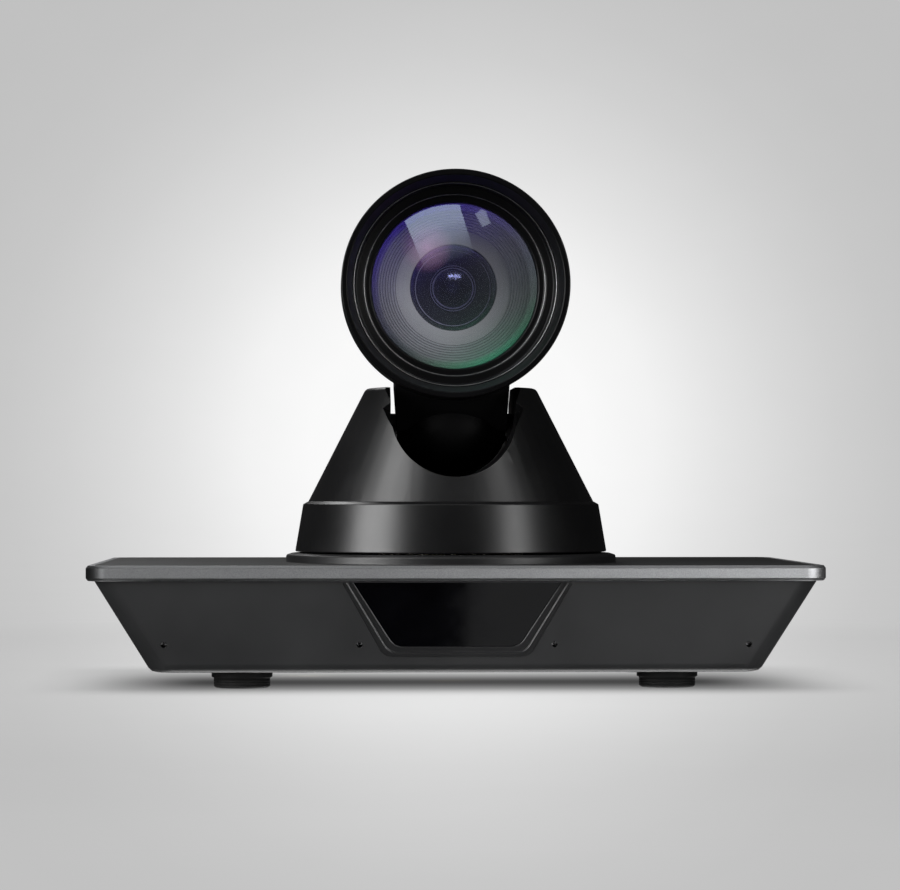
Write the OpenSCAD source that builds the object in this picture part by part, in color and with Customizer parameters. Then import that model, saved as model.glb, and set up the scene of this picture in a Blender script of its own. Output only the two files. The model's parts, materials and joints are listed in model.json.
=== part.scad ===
// A pan-tilt-zoom conference camera: a wide boat-shaped base, a turning drum and yoke,
// and a tilting head with a zoom lens.  Millimetres, +Z up, the front faces -Y.
// The origin is on the table, under the middle of the base.

/* [Base] */
// Width of the base across its trim band
base_w = 240; // [230:1:260]
// Depth of the base across its trim band
base_d = 146; // [144:1:156]
// Height of the rubber feet
foot_h = 5.5; // [4:0.5:8]
// Height of the sloping lower tray
tray_h = 29.9; // [29:0.1:34]
// Height of the metal trim band
trim_h = 5; // [4.6:0.1:6]
// How far the side walls lean in towards the floor
side_lean = 18.4; // [14:0.2:22]
// How far the front wall leans in towards the floor
front_lean = 6; // [3:0.5:9]

/* [Drum and yoke] */
// Distance from the front of the base to the pan axis
pan_setback = 62; // [60:1:70]
// Radius of the drum where it meets the base
drum_r = 52.9; // [52:0.1:54]
// Height of the drum
drum_h = 17; // [16.5:0.1:18]
// Height of the conical yoke above the drum
yoke_h = 38.3; // [37.5:0.1:39]
// Half the width of the channel that the head tilts in
channel_r = 20.9; // [20.5:0.1:21.5]

/* [Head] */
// Height of the lens axis above the table
lens_z = 132.4; // [131:0.1:136]
// Outer radius of the lens hood
hood_r = 37.6; // [37:0.1:38.5]
// Distance from the pan axis to the front rim of the hood
hood_front = 46; // [45:0.5:48]
// Radius of the camera barrel behind the hood
barrel_r = 34; // [33:0.1:35]

/* [Drive] */
// Tooth module of the gears
tooth_module = 0.8; // [0.8:0.1:0.8]
// Teeth on the fixed pan gear
pan_teeth = 60; // [60:1:60]
// Teeth on the pan pinion
pan_pinion_teeth = 12; // [12:1:12]
// Teeth on a full tilt gear
tilt_teeth = 30; // [30:1:30]
// Teeth on the tilt pinion
tilt_pinion_teeth = 10; // [10:1:10]
// Radial running clearance of shafts and bearings
run_gap = 0.05; // [0.02:0.01:0.1]

/* [Hidden] */
$fn = 72;

// Heights of the base, from the table up
tray_z0 = foot_h;
tray_z1 = foot_h + tray_h;
trim_z1 = tray_z1 + trim_h;
plate_t = 3;
plate_z0 = trim_z1 - plate_t;
trim_wall = 3;
wall = 2.4;
shell = 2.2;
corner_r = 7;
tray_top_inset = 2.6;
rear_inset = 5;
tray_front = -base_d / 2 + tray_top_inset;
tray_rear = base_d / 2 - rear_inset;
tray_half_w = base_w / 2 - tray_top_inset;
floor_half_w = tray_half_w - side_lean;
face_tilt = atan(front_lean / tray_h);
edge_r = 3;

// Window in the front wall, in the plane of that wall, below its top edge
window_half_top = 39.2;
window_depth = 25.2;
window_slope = 30;
bezel_w = 3.2;

// Rear bay and its connectors
bay_half_w = 80;
panel_y = base_d / 2 - 13;
panel_t = 1.2;
board_z = 12;
board_t = 1.6;
board_half_w = 79;
board_top = board_z + board_t;
port_y = panel_y + panel_t;
rocker_x = -70;
dc_x = -56;
serial_x = [-40, -22];
audio_x = -7;
usb_x = 7;
hdmi_x = 25;
lan_x = 45;
sdi_x = 66;
rocker_z = 24;
rocker_tip = 8;

// Underside
foot_r = 10;
foot_x = 70;
foot_y = 48;
case_screw_x = 86;
case_screw_y = 46;
board_screw_x = 73;
board_screw_y = [-38, 34];
dial_x = -50;
dial_y = 20;
column_z = 28;
insert_r = 6;
insert_top = 15;
tripod_bore_r = 2.55;

// Pan axis
pan_y = -base_d / 2 + pan_setback;
drum_z0 = trim_z1 + 3.6;
drum_z1 = drum_z0 + drum_h;
drum_top_r = 50.2;
yoke_r0 = 48.4;
yoke_z1 = drum_z1 + yoke_h;
yoke_lean = 0.5245;
shaft_r = 8;
bearing_r = 14;
gear_z = trim_z1 + 2;
gear_t = 3;
pan_gear_r = pan_teeth * tooth_module / 2;
pan_pinion_r = pan_pinion_teeth * tooth_module / 2;
pan_centres = pan_gear_r + pan_pinion_r + 0.1;
chassis_z = trim_z1 + 9.6;
chassis_t = 2;
chassis_r = 45.5;
post_at = 41;

// Tilt axis
tilt_z = yoke_z1 - 15.3;
channel_z = tilt_z + 6;
tilt_gear_r = tilt_teeth * tooth_module / 2;
tilt_pinion_r = tilt_pinion_teeth * tooth_module / 2;
tilt_centres = tilt_gear_r + tilt_pinion_r + 0.1;
tilt_gear_x = channel_r + shell + 1.2;
tilt_gear_t = 3;
tilt_shaft_r = 2.5;
neck_half_w = 19.2;
neck_hub_w = 18.4;
neck_gap = 1.3;
tilt_limit = 30;

// Lens, with distances measured forward from the pan axis
glass_r = 27.6;
glass_front = hood_front - 14;
tube_r = 29;
tube_bore = 26.2;
tube_back = -19;
bulkhead_f = -18.5;
rod_at = 21.5;
rod_r = 1.2;
screw_at = 19.5;
screw_r = 1;
zoom_f = 4;
focus_f = -11;
iris_f = 14.6;

// ---- Helpers ----

module rounded_rect(w, d, r) {
    square([w - 2 * r, d], center = true);
    square([w, d - 2 * r], center = true);
    for (x = [-1, 1], y = [-1, 1])
        translate([x * (w / 2 - r), y * (d / 2 - r)]) circle(r);
}

// A rounded slab between two heights, with its outline given by half width, front and rear
module slab(half_w, front, rear, z, t, r) {
    for (x = [-1, 1], y = [front + r, rear - r])
        translate([x * (half_w - r), y, z]) cylinder(r = r, h = t, $fn = 32);
}

// Block on the board, centred on x, running inwards from the plane y = front
module port_block(x, w, h, depth, front = port_y) {
    translate([x - w / 2, front - depth, board_top]) cube([w, depth, h]);
}

// Everything inside lies on the pan axis, in plan
module at_pan() { translate([0, pan_y, 0]) children(); }

// Local x is the tilt axis
module at_tilt() { translate([0, pan_y, tilt_z]) children(); }

// A bar or a hole along the tilt axis, from x0 to x1
module along_tilt(x0, x1, r) {
    translate([x0, 0, 0]) rotate([0, 90, 0]) cylinder(r = r, h = x1 - x0);
}

// Local z runs forward along the lens axis and local y runs up
module at_lens() { translate([0, pan_y, lens_z]) rotate([90, 0, 0]) children(); }

// A ring round the local z axis
module ring(r_out, r_in, z0, z1) {
    difference() {
        translate([0, 0, z0]) cylinder(r = r_out, h = z1 - z0);
        translate([0, 0, z0 - 1]) cylinder(r = r_in, h = z1 - z0 + 2);
    }
}

// Local x and y lie in the front wall, y up from its lower edge of the band, z outwards
module on_front_wall() {
    translate([0, tray_front, tray_z1]) rotate([90 + face_tilt, 0, 0]) children();
}

function involute(base, roll) =
    base * [cos(roll) + roll * PI / 180 * sin(roll), sin(roll) - roll * PI / 180 * cos(roll)];
function roll_at(base, r) = r > base ? sqrt(pow(r / base, 2) - 1) * 180 / PI : 0;
function polar_of(p) = [norm(p), atan2(p[1], p[0])];

// Spur gear outline with one tooth on the +x axis and a little backlash
module gear_outline(teeth, slack = 0.12) {
    pitch = teeth * tooth_module / 2;
    base = pitch * cos(20);
    tip = pitch + 0.8 * tooth_module;
    root = pitch - 1.15 * tooth_module;
    half = 90 / teeth - slack / pitch * 90 / PI;
    lean = polar_of(involute(base, roll_at(base, pitch)))[1];
    rolls = [for (i = [0:3]) roll_at(base, max(base, root)
        + (tip - max(base, root)) * i / 3)];
    flank = [for (a = rolls) polar_of(involute(base, a))];
    side = concat([[root, flank[0][1] - 0.4]], flank);
    polygon([for (k = [0:teeth - 1]) let(turn = k * 360 / teeth) each concat(
        [for (p = side) let(a = turn - half - lean + p[1]) p[0] * [cos(a), sin(a)]],
        [for (i = [len(side) - 1:-1:0])
            let(a = turn + half + lean - side[i][1]) side[i][0] * [cos(a), sin(a)]])]);
}

// ---- Base ----

module tray_outer() {
    hull() {
        slab(tray_half_w, tray_front, tray_rear, tray_z1 - 0.1, 0.1, corner_r);
        for (a = [0:30:90])
            slab(floor_half_w + 1.6 - edge_r * (1 - cos(a)),
                tray_front + front_lean - 0.5 + edge_r * (1 - cos(a)),
                tray_rear - edge_r * (1 - cos(a)),
                tray_z0 + edge_r * (1 - sin(a)), 0.1, corner_r);
    }
}

module tray_inner() {
    hull() {
        slab(tray_half_w - wall, tray_front + wall, tray_rear - wall, tray_z1 - 0.1, 1, 5);
        slab(floor_half_w - 1.2, tray_front + front_lean + wall, tray_rear - wall,
            tray_z0 + wall, 0.1, 5);
    }
}

module window_outline(grow = 0) {
    low = window_depth + grow;
    half_low = window_half_top - window_depth * tan(window_slope);
    r = 5;
    intersection() {
        hull() {
            for (s = [-1, 1]) {
                translate([s * (window_half_top + grow - 0.5), 3]) circle(0.5, $fn = 32);
                translate([s * (half_low + grow - r + 1), r - low]) circle(r, $fn = 32);
            }
        }
        translate([-60, -60.55]) square([120, 60]);
    }
}

module mic_points() {
    for (x = [-94.9, -31.6, 31.6, 94.9])
        translate([x, tray_front, tray_z1]) rotate([90 + face_tilt, 0, 0])
            translate([0, -21.2, 0]) children();
}

module base_tray() {
    color("#3b3d40") {
        difference() {
            union() {
                difference() {
                    tray_outer();
                    tray_inner();
                }
                for (x = [-1, 1], y = [-1, 1])
                    translate([x * case_screw_x, y * case_screw_y, tray_z0 + 1])
                        cylinder(r = 4.6, h = column_z - tray_z0 - 1);
                at_pan() translate([0, 0, tray_z0 + 1]) cylinder(r = 9, h = 14 - tray_z0 - 1);
                for (x = [-1, 1], y = board_screw_y)
                    translate([x * board_screw_x, y, tray_z0 + 1])
                        cylinder(r = 3, h = board_z - tray_z0 - 1);
                for (s = [-1, 1])
                    translate([s * (bay_half_w + 1) - 1, panel_y, tray_z0 + 1])
                        cube([2, tray_rear - 1 - panel_y, 25]);
            }
            on_front_wall() translate([0, 0, -8]) linear_extrude(12) window_outline();
            mic_points() translate([0, 0, -6]) cylinder(r = 1, h = 12);
            translate([-bay_half_w, panel_y - 1, tray_z0 + wall]) cube([2 * bay_half_w, 20, 60]);
            at_pan() cylinder(r = insert_r, h = 40);
            translate([dial_x, dial_y, 0]) cylinder(r = 6, h = 20);
            for (x = [-1, 1], y = [-1, 1])
                translate([x * case_screw_x, y * case_screw_y, 0]) {
                    cylinder(r = 3.2, h = tray_z0 + 3);
                    cylinder(r = 1.5, h = 40);
                }
            for (x = [-1, 1], y = board_screw_y)
                translate([x * board_screw_x, y, board_z - 4]) cylinder(r = 1.2, h = 10);
            for (i = [0:15])
                translate([28 + i * 2.4, -32, 0]) cube([1.2, 40, 12]);
        }
    }
}

module top_plate() {
    color("#151618") difference() {
        union() {
            translate([0, 0, plate_z0]) linear_extrude(plate_t)
                rounded_rect(base_w - 2 * trim_wall, base_d - 2 * trim_wall, corner_r - trim_wall);
            at_pan() rotate_extrude($fn = 144) polygon([
                [46, trim_z1 - 1], [56, trim_z1 - 1], [56, trim_z1 + 2.2], [55.6, trim_z1 + 2.6],
                [54, trim_z1 + 3.1], [46, trim_z1 + 3.1]]);
            at_pan() translate([0, 0, trim_z1]) cylinder(r = 20, h = gear_z - trim_z1);
        }
        at_pan() translate([0, 0, 30]) cylinder(r = shaft_r, h = 20);
    }
    color("#151618") for (x = [-1, 1], y = [-1, 1])
        translate([x * case_screw_x, y * case_screw_y, 0]) ring(4.6, 1.25, column_z, plate_z0 + 0.5);
}

// Section of the trim band, with its outer face at x = corner_r
module band_section() {
    polygon([
        [corner_r - 5, tray_z1], [corner_r - 0.7, tray_z1], [corner_r - 0.2, tray_z1 + 0.35],
        [corner_r, tray_z1 + 0.9], [corner_r, trim_z1 - 0.9], [corner_r - 0.2, trim_z1 - 0.35],
        [corner_r - 0.7, trim_z1], [corner_r - trim_wall, trim_z1],
        [corner_r - trim_wall, plate_z0], [corner_r - 5, plate_z0]]);
}

module trim_band() {
    half_x = base_w / 2 - corner_r;
    half_y = base_d / 2 - corner_r;
    color("#a3a5a8") for (turn = [0:90:270]) {
        across = turn % 180 == 0 ? half_x : half_y;
        along = turn % 180 == 0 ? half_y : half_x;
        rotate([0, 0, turn]) translate([across, along, 0]) {
            rotate_extrude(angle = 90) band_section();
            rotate([90, 0, 0]) linear_extrude(2 * along) band_section();
        }
    }
}

module window_bezel() {
    color("#26282a") on_front_wall() difference() {
        translate([0, 0, -2.4]) linear_extrude(2.6) window_outline();
        translate([0, 0.01, -3]) linear_extrude(6) window_outline(-bezel_w);
        translate([0, 0.01, -0.6]) linear_extrude(2) window_outline(-1.4);
    }
}

module ir_window() {
    color("#08080a") on_front_wall()
        translate([0, 0, -2.4]) linear_extrude(1.6) window_outline(-bezel_w - 0.05);
}

module rear_panel() {
    holes = [[dc_x, 19.1, 9.4, 11.4], [usb_x, 19, 12.4, 11.2], [hdmi_x, 16.7, 15.4, 6.6],
             [lan_x, 20.3, 16.4, 13.8]];
    color("#1d1e20") difference() {
        translate([-bay_half_w, panel_y, tray_z0 + wall])
            cube([2 * bay_half_w, panel_t, plate_z0 - tray_z0 - wall]);
        for (h = holes)
            translate([h[0] - h[2] / 2, panel_y - 1, h[1] - h[3] / 2]) cube([h[2], 5, h[3]]);
        for (x = serial_x) translate([x, panel_y - 1, 21]) rotate([-90, 0, 0]) cylinder(r = 6.7, h = 5);
        translate([audio_x, panel_y - 1, 17]) rotate([-90, 0, 0]) cylinder(r = 3.1, h = 5);
        translate([sdi_x, panel_y - 1, 22]) rotate([-90, 0, 0]) cylinder(r = 6.1, h = 5);
        translate([rocker_x - 7.6, panel_y - 1, rocker_z - 10.6]) cube([15.2, 5, 21.2]);
        translate([75.5, panel_y - 1, 26]) cube([3, 5, 7]);
    }
}

module main_board() {
    color("#1d5b34") difference() {
        translate([-board_half_w, -47, board_z]) cube([2 * board_half_w, panel_y + 46.8, board_t]);
        at_pan() translate([0, 0, 5]) cylinder(r = 10, h = 20);
        for (x = [-1, 1], y = board_screw_y)
            translate([x * board_screw_x, y, 5]) cylinder(r = 1.6, h = 20);
    }
    color("#202124") {
        translate([-52, -36, board_top]) cube([18, 18, 2]);
        translate([-58, 4, board_top]) cube([12, 16, 1.4]);
        translate([-30, -40, board_top]) cube([12, 10, 1.4]);
        for (i = [0:3]) translate([-66, -34 + 9 * i, board_top]) cylinder(r = 3, h = 7);
    }
}

module heat_sink() {
    color("#8e9194") {
        translate([20, -34, board_top]) cube([36, 36, 2.5]);
        for (i = [0:8]) translate([20 + i * 4.3, -34, board_top + 2]) cube([1.6, 36, 9]);
    }
}

module rubber_feet() {
    color("#101011") for (x = [-1, 1], y = [-1, 1])
        translate([x * foot_x, y * foot_y, 0]) rotate_extrude() polygon([
            [0, 0.4], [6.4, 0.4], [6.8, 0], [foot_r - 1.6, 0], [foot_r - 0.8, 0.5],
            [foot_r - 0.6, foot_h - 2.2], [foot_r, foot_h - 2.2], [foot_r, foot_h], [0, foot_h]]);
}

module mic_capsules() {
    color("#b9bbbd") mic_points() translate([0, 0, -wall - 4]) cylinder(r = 3, h = 3.3);
}

module ir_receiver() {
    color("#1a1012") {
        for (x = [-14, 14]) translate([x - 4, -61, 22]) cube([8, 4, 8]);
        for (x = [-14, 14]) translate([x, -61, 26.5]) rotate([90, 0, 0]) cylinder(r = 3, h = 1.2);
    }
    color("#1d5b34") translate([-20, -57, 20]) cube([40, 1.4, 12]);
    color("#d8f2dc") translate([0, -57, 26]) rotate([90, 0, 0]) cylinder(r = 1.5, h = 4);
}

module dc_jack() {
    color("#17181a") difference() {
        port_block(dc_x, 9, 11, 14);
        translate([dc_x, port_y - 10, 19.6]) rotate([-90, 0, 0]) cylinder(r = 3.2, h = 12);
    }
    color("#c9cbcd") translate([dc_x, port_y - 11, 19.6]) rotate([-90, 0, 0]) cylinder(r = 1, h = 10);
}

module hdmi_port() {
    color("#b8babd") difference() {
        port_block(hdmi_x, 15, 6.2, 12);
        translate([hdmi_x - 7, port_y - 10, board_top + 0.5]) cube([14, 12, 4.9]);
    }
    color("#111214") translate([hdmi_x - 5.4, port_y - 11, board_top + 2.4]) cube([10.8, 9, 1.2]);
}

module usb_port() {
    color("#b8babd") difference() {
        port_block(usb_x, 12, 10.8, 16);
        translate([usb_x - 4.3, port_y - 12, board_top + 1.2]) cube([8.6, 14, 8]);
    }
    color("#1748a0") translate([usb_x - 2.7, port_y - 13, board_top + 3.6]) cube([5.4, 11, 3.2]);
}

module lan_port() {
    color("#b0b3b6") difference() {
        port_block(lan_x, 16, 13.4, 21);
        translate([lan_x - 6, port_y - 14, board_top + 2]) cube([12, 16, 7.6]);
        translate([lan_x - 3, port_y - 14, board_top + 1]) cube([6, 16, 3]);
    }
}

module sdi_port() {
    color("#c2c4c6") {
        port_block(sdi_x, 14, 14, 12.7, panel_y);
        translate([sdi_x, 0, 22]) rotate([-90, 0, 0]) difference() {
            union() {
                translate([0, 0, port_y - 3]) cylinder(r = 6, h = 5);
                translate([0, 0, port_y]) cylinder(r = 4.8, h = 10);
                for (a = [0, 180]) rotate([0, 0, a])
                    translate([4, 0, port_y + 7]) rotate([0, 90, 0]) cylinder(r = 1, h = 1.9);
            }
            translate([0, 0, port_y + 2]) cylinder(r = 3.9, h = 12);
        }
        translate([sdi_x, port_y, 22]) rotate([-90, 0, 0]) cylinder(r = 1, h = 8);
    }
}

module serial_ports() {
    for (x = serial_x) color("#17181a") difference() {
        union() {
            port_block(x, 14, 14.2, 10.8, panel_y);
            translate([x, port_y - 2, 21]) rotate([-90, 0, 0]) cylinder(r = 6.6, h = 2.4);
        }
        translate([x, port_y - 8, 21]) rotate([-90, 0, 0]) ring(4.8, 2.8, 0, 12);
        translate([x, port_y - 8, 21]) rotate([-90, 0, 0]) translate([-1.2, 2.2, 0]) cube([2.4, 2, 12]);
    }
}

module audio_port() {
    color("#3f9a58") difference() {
        union() {
            port_block(audio_x, 8, 6.4, 10.8, panel_y);
            translate([audio_x, port_y - 2, 17]) rotate([-90, 0, 0]) cylinder(r = 3, h = 2.6);
        }
        translate([audio_x, port_y - 10, 17]) rotate([-90, 0, 0]) cylinder(r = 1.8, h = 14);
    }
}

// The rocker turns on a pin that runs across the housing
module switch_housing() {
    color("#17181a") difference() {
        union() {
            translate([rocker_x - 7.5, port_y - 14, rocker_z - 10.4]) cube([15, 14, 20.8]);
            translate([rocker_x - 8.5, port_y, rocker_z - 11.2]) cube([17, 1, 22.4]);
        }
        translate([rocker_x - 5.6, port_y - 11, rocker_z - 8.8]) cube([11.2, 14, 17.6]);
        translate([rocker_x - 7, port_y - 2, rocker_z]) rotate([0, 90, 0])
            cylinder(r = 1 + run_gap, h = 14);
    }
}

module power_rocker() {
    color("#232427") translate([rocker_x, port_y - 2, rocker_z]) {
        rotate([90, 0, 90]) translate([0, 0, -5.2]) linear_extrude(10.4) rotate(rocker_tip) polygon([
            [-3, -4], [-3, 4], [1.6, 8.1], [4.4, 7.2], [2.9, 0], [4.4, -7.2], [1.6, -8.1]]);
        rotate([0, 90, 0]) translate([0, 0, -6.6]) cylinder(r = 1, h = 13.2);
    }
}

module address_switch() {
    color("#2c3e66") difference() {
        translate([dial_x - 5.8, dial_y - 5.8, 8.4]) cube([11.6, 11.6, board_z - 8.4]);
        translate([dial_x, dial_y, 8]) cylinder(r = 3 + run_gap, h = 3.6);
    }
}

module address_dial() {
    color("#e6e2d6") translate([dial_x, dial_y, 0]) difference() {
        union() {
            translate([0, 0, 6.1]) cylinder(r = 4.8, h = 2);
            translate([0, 0, 8]) cylinder(r = 3, h = 3);
        }
        translate([-3.4, -0.6, 5]) cube([6.8, 1.2, 2]);
    }
}

module tripod_insert() {
    color("#b08d3f") at_pan() {
        ring(insert_r, tripod_bore_r, tray_z0 + 0.2, insert_top);
        ring(8.6, tripod_bore_r, 14, insert_top);
    }
}

module case_screws() {
    color("#55585c") for (x = [-1, 1], y = [-1, 1])
        translate([x * case_screw_x, y * case_screw_y, 0]) difference() {
            union() {
                translate([0, 0, tray_z0 + 0.6]) cylinder(r = 2.9, h = 2.4);
                translate([0, 0, tray_z0 + 2]) cylinder(r = 1.25, h = 27);
            }
            translate([-0.4, -1.7, tray_z0]) cube([0.8, 3.4, 1.6]);
            translate([-1.7, -0.4, tray_z0]) cube([3.4, 0.8, 1.6]);
        }
}

module board_screws() {
    color("#a9acb0") for (x = [-1, 1], y = board_screw_y)
        translate([x * board_screw_x, y, 0]) difference() {
            union() {
                translate([0, 0, board_top]) cylinder(r = 2.6, h = 1.7);
                translate([0, 0, board_z - 3.6]) cylinder(r = 1.2, h = 6);
            }
            translate([0, 0, board_top + 0.8]) cylinder(r = 1, h = 2, $fn = 6);
        }
}

// ---- Pan bearing and gear, fixed to the base ----

module pan_shaft() {
    color("#9b9ea2") at_pan() {
        ring(16, 5.5, plate_z0 - 2, plate_z0);
        ring(shaft_r, 5.5, plate_z0 - 2, drum_z1 - 3);
    }
}

module pan_bearing() {
    color("#c7c9cc") at_pan() {
        ring(bearing_r, 12, chassis_z - 3.6, chassis_z + 1.4);
        ring(10, shaft_r, chassis_z - 3.6, chassis_z + 1.4);
        ring(12, 10, chassis_z - 2.6, chassis_z + 0.4);
    }
}

module pan_ring_gear() {
    color("#d8d4c4") at_pan() rotate([0, 0, 90]) difference() {
        translate([0, 0, gear_z]) linear_extrude(gear_t) gear_outline(pan_teeth);
        translate([0, 0, gear_z - 1]) cylinder(r = 15, h = 6);
        for (a = [45:90:315]) rotate([0, 0, a]) translate([18, 0, gear_z - 1]) cylinder(r = 1.2, h = 6);
    }
}

// ---- Turning drum and yoke ----

module drum_shell() {
    color("#17181a") at_pan() rotate_extrude($fn = 144) polygon([
        [drum_r - shell, drum_z0], [drum_r - 0.4, drum_z0], [drum_r, drum_z0 + 0.5],
        [drum_top_r, drum_z1 - 1], [yoke_r0, drum_z1], [44, drum_z1], [44, drum_z1 - 2],
        [yoke_r0 - 0.6, drum_z1 - 2.6], [drum_top_r - shell + 1, chassis_z + chassis_t + 2],
        [43, chassis_z + chassis_t + 2], [43, chassis_z + chassis_t],
        [drum_r - shell - 1, chassis_z + chassis_t]]);
}

module channel(r, below = 0) {
    translate([0, 80, channel_z]) rotate([90, 0, 0]) linear_extrude(160) {
        circle(r);
        translate([-r, 0]) square([2 * r, 60]);
    }
}

module yoke_profile(inset, top_drop) {
    r_top = 2.2;
    arc_z = yoke_z1 - top_drop - r_top;
    arc_r = yoke_r0 - inset - (arc_z - drum_z1) * yoke_lean - r_top * 0.87;
    polygon(concat([[0, drum_z1 - (inset > 0 ? 1 : 0)], [yoke_r0 - inset, drum_z1 - (inset > 0 ? 1 : 0)]],
        [for (a = [28:12.4:90]) [arc_r + r_top * cos(a), arc_z + r_top * sin(a)]],
        [[0, yoke_z1 - top_drop]]));
}

module yoke_shell() {
    rear_wall_y = 17;
    color("#17181a") at_pan() difference() {
        union() {
            difference() {
                rotate_extrude($fn = 144) yoke_profile(0, 0);
                difference() {
                    rotate_extrude($fn = 144) yoke_profile(shell + 0.3, shell);
                    channel(channel_r + shell);
                    translate([-50, rear_wall_y - 0.01, tilt_z - 18]) cube([100, 3, 14]);
                }
                difference() {
                    channel(channel_r);
                    translate([-30, rear_wall_y, tilt_z - 20]) cube([60, 60, 16]);
                }
            }
            for (s = [-1, 1]) translate([0, 0, tilt_z])
                along_tilt(s > 0 ? 18.8 : -22, s > 0 ? 22 : -18.8, 6.8);
            intersection() {
                rotate_extrude() yoke_profile(0.5, 1);
                for (a = [45:90:315]) rotate([0, 0, a]) translate([post_at, 0, 0])
                    cylinder(r = 3, h = drum_z1 + 5);
                translate([-60, -60, chassis_z + chassis_t]) cube([120, 120, 20]);
            }
        }
        for (s = [-1, 1]) translate([0, 0, tilt_z])
            along_tilt(s > 0 ? 15 : -30, s > 0 ? 30 : -15, 4.2);
        for (a = [45:90:315]) rotate([0, 0, a]) translate([post_at, 0, 40])
            cylinder(r = 1.25, h = drum_z1 - 38);
        head_relief(-tilt_limit, barrel_r + 0.8, -50, 16);
        head_relief(tilt_limit, barrel_r + 0.8, -16, 50);
        head_relief(tilt_limit, hood_r + 0.6, 15.4, hood_front + 5);
    }
}

// The space that the head's round body sweeps into at one end of its tilt
module head_relief(angle, r, f0, f1) {
    translate([0, 0, tilt_z]) rotate([angle, 0, 0]) translate([0, 0, lens_z - tilt_z])
        rotate([90, 0, 0]) translate([0, 0, f0]) cylinder(r = r, h = f1 - f0, $fn = 96);
}

module pan_chassis() {
    color("#8e9194") at_pan() {
        difference() {
            union() {
                translate([0, 0, chassis_z]) cylinder(r = chassis_r, h = chassis_t);
                translate([0, 0, chassis_z - 3.4]) cylinder(r = 17, h = 5.4);
                translate([27.8, -9, chassis_z]) cube([2, 18, tilt_z - tilt_centres - chassis_z + 9]);
            }
            translate([0, 0, chassis_z - 5]) cylinder(r = bearing_r + run_gap, h = 12);
            translate([0, pan_centres, chassis_z - 1]) cylinder(r = 3.5, h = 5);
            for (a = [45:90:315]) rotate([0, 0, a]) translate([post_at, 0, chassis_z - 1])
                cylinder(r = 1.5, h = 5);
            translate([20, 0, tilt_z - tilt_centres]) rotate([0, 90, 0]) cylinder(r = 3, h = 15);
        }
        for (x = [-16, 16], y = [-37, -25]) translate([x, y, chassis_z + chassis_t - 0.1])
            cylinder(r = 1.5, h = 4.1);
    }
}

module pan_motor() {
    color("#34363a") at_pan() translate([0, pan_centres, 0]) {
        ring(9, 1 + run_gap, chassis_z + chassis_t, chassis_z + chassis_t + 3);
        translate([0, 0, chassis_z + chassis_t + 3]) cylinder(r = 9, h = 8);
    }
}

module pan_pinion() {
    color("#d0b060") at_pan() translate([0, pan_centres, 0]) {
        translate([0, 0, gear_z - 0.2]) linear_extrude(gear_t + 0.6)
            rotate([0, 0, 90 + 180 / pan_pinion_teeth]) gear_outline(pan_pinion_teeth);
        translate([0, 0, gear_z + 1]) cylinder(r = 1, h = chassis_z + chassis_t + 1.5 - gear_z);
    }
}

module tilt_motor() {
    x0 = 29.8;
    color("#34363a") at_pan() translate([0, 0, tilt_z - tilt_centres]) difference() {
        along_tilt(x0, x0 + 7, 7.5);
        along_tilt(x0 - 1, x0 + 3, 1 + run_gap);
    }
}

module tilt_pinion() {
    color("#d0b060") at_pan() translate([0, 0, tilt_z - tilt_centres]) {
        translate([tilt_gear_x - 0.3, 0, 0]) rotate([90, 0, 90]) linear_extrude(tilt_gear_t + 0.4)
            rotate([0, 0, 90 + 180 / tilt_pinion_teeth]) gear_outline(tilt_pinion_teeth);
        along_tilt(tilt_gear_x, 32.4, 1);
    }
}

module tilt_bushes() {
    color("#b98f4a") at_tilt() for (s = [-1, 1]) mirror([s < 0 ? 1 : 0, 0, 0]) difference() {
        union() {
            along_tilt(18.9, channel_r + shell + 0.8, 4.2);
            along_tilt(channel_r + shell, channel_r + shell + 0.8, 5.4);
        }
        along_tilt(15, 30, tilt_shaft_r + run_gap);
    }
}

module motor_board() {
    color("#1d5b34") at_pan() translate([-20, -40, chassis_z + chassis_t + 4]) cube([40, 18, 1.6]);
    color("#202124") at_pan() {
        translate([-6, -36, chassis_z + chassis_t + 5.6]) cube([10, 8, 1.2]);
        translate([8, -38, chassis_z + chassis_t + 5.6]) cube([8, 4, 4]);
    }
}

module yoke_screws() {
    color("#a9acb0") at_pan() for (a = [45:90:315]) rotate([0, 0, a]) translate([post_at, 0, 0]) {
        difference() {
            translate([0, 0, chassis_z - 1.8]) cylinder(r = 2.6, h = 1.8);
            translate([0, 0, chassis_z - 2]) cylinder(r = 1.1, h = 1.2, $fn = 6);
        }
        translate([0, 0, chassis_z - 0.2]) cylinder(r = 1.25, h = 12);
    }
}

// ---- Head ----

// Radius of the neck about the tilt axis, so that it clears the channel's round floor
function neck_radius(x) =
    max(0.2, sqrt(channel_r * channel_r - x * x) - (channel_z - tilt_z) - neck_gap);

module neck_solid() {
    at_tilt() {
        rotate([0, 90, 0]) rotate_extrude() polygon(concat([[0, -neck_hub_w]],
            [for (i = [-8:8]) [neck_radius(i * neck_hub_w / 8), i * neck_hub_w / 8]],
            [[0, neck_hub_w]]));
        intersection() {
            rotate([90, 0, 90]) translate([0, 0, -30]) linear_extrude(60) polygon([
                [-7, 1], [7, 1], [13, 8], [16, 13], [22, 24], [22, 40], [-15.5, 40],
                [-15.5, 14], [-13, 8]]);
            rotate([90, 0, 0]) translate([0, 0, -40]) linear_extrude(80) polygon([
                [-neck_hub_w, 1], [neck_hub_w, 1], [neck_half_w, 16], [neck_half_w, 40],
                [-neck_half_w, 40], [-neck_half_w, 16]]);
        }
    }
}

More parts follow.
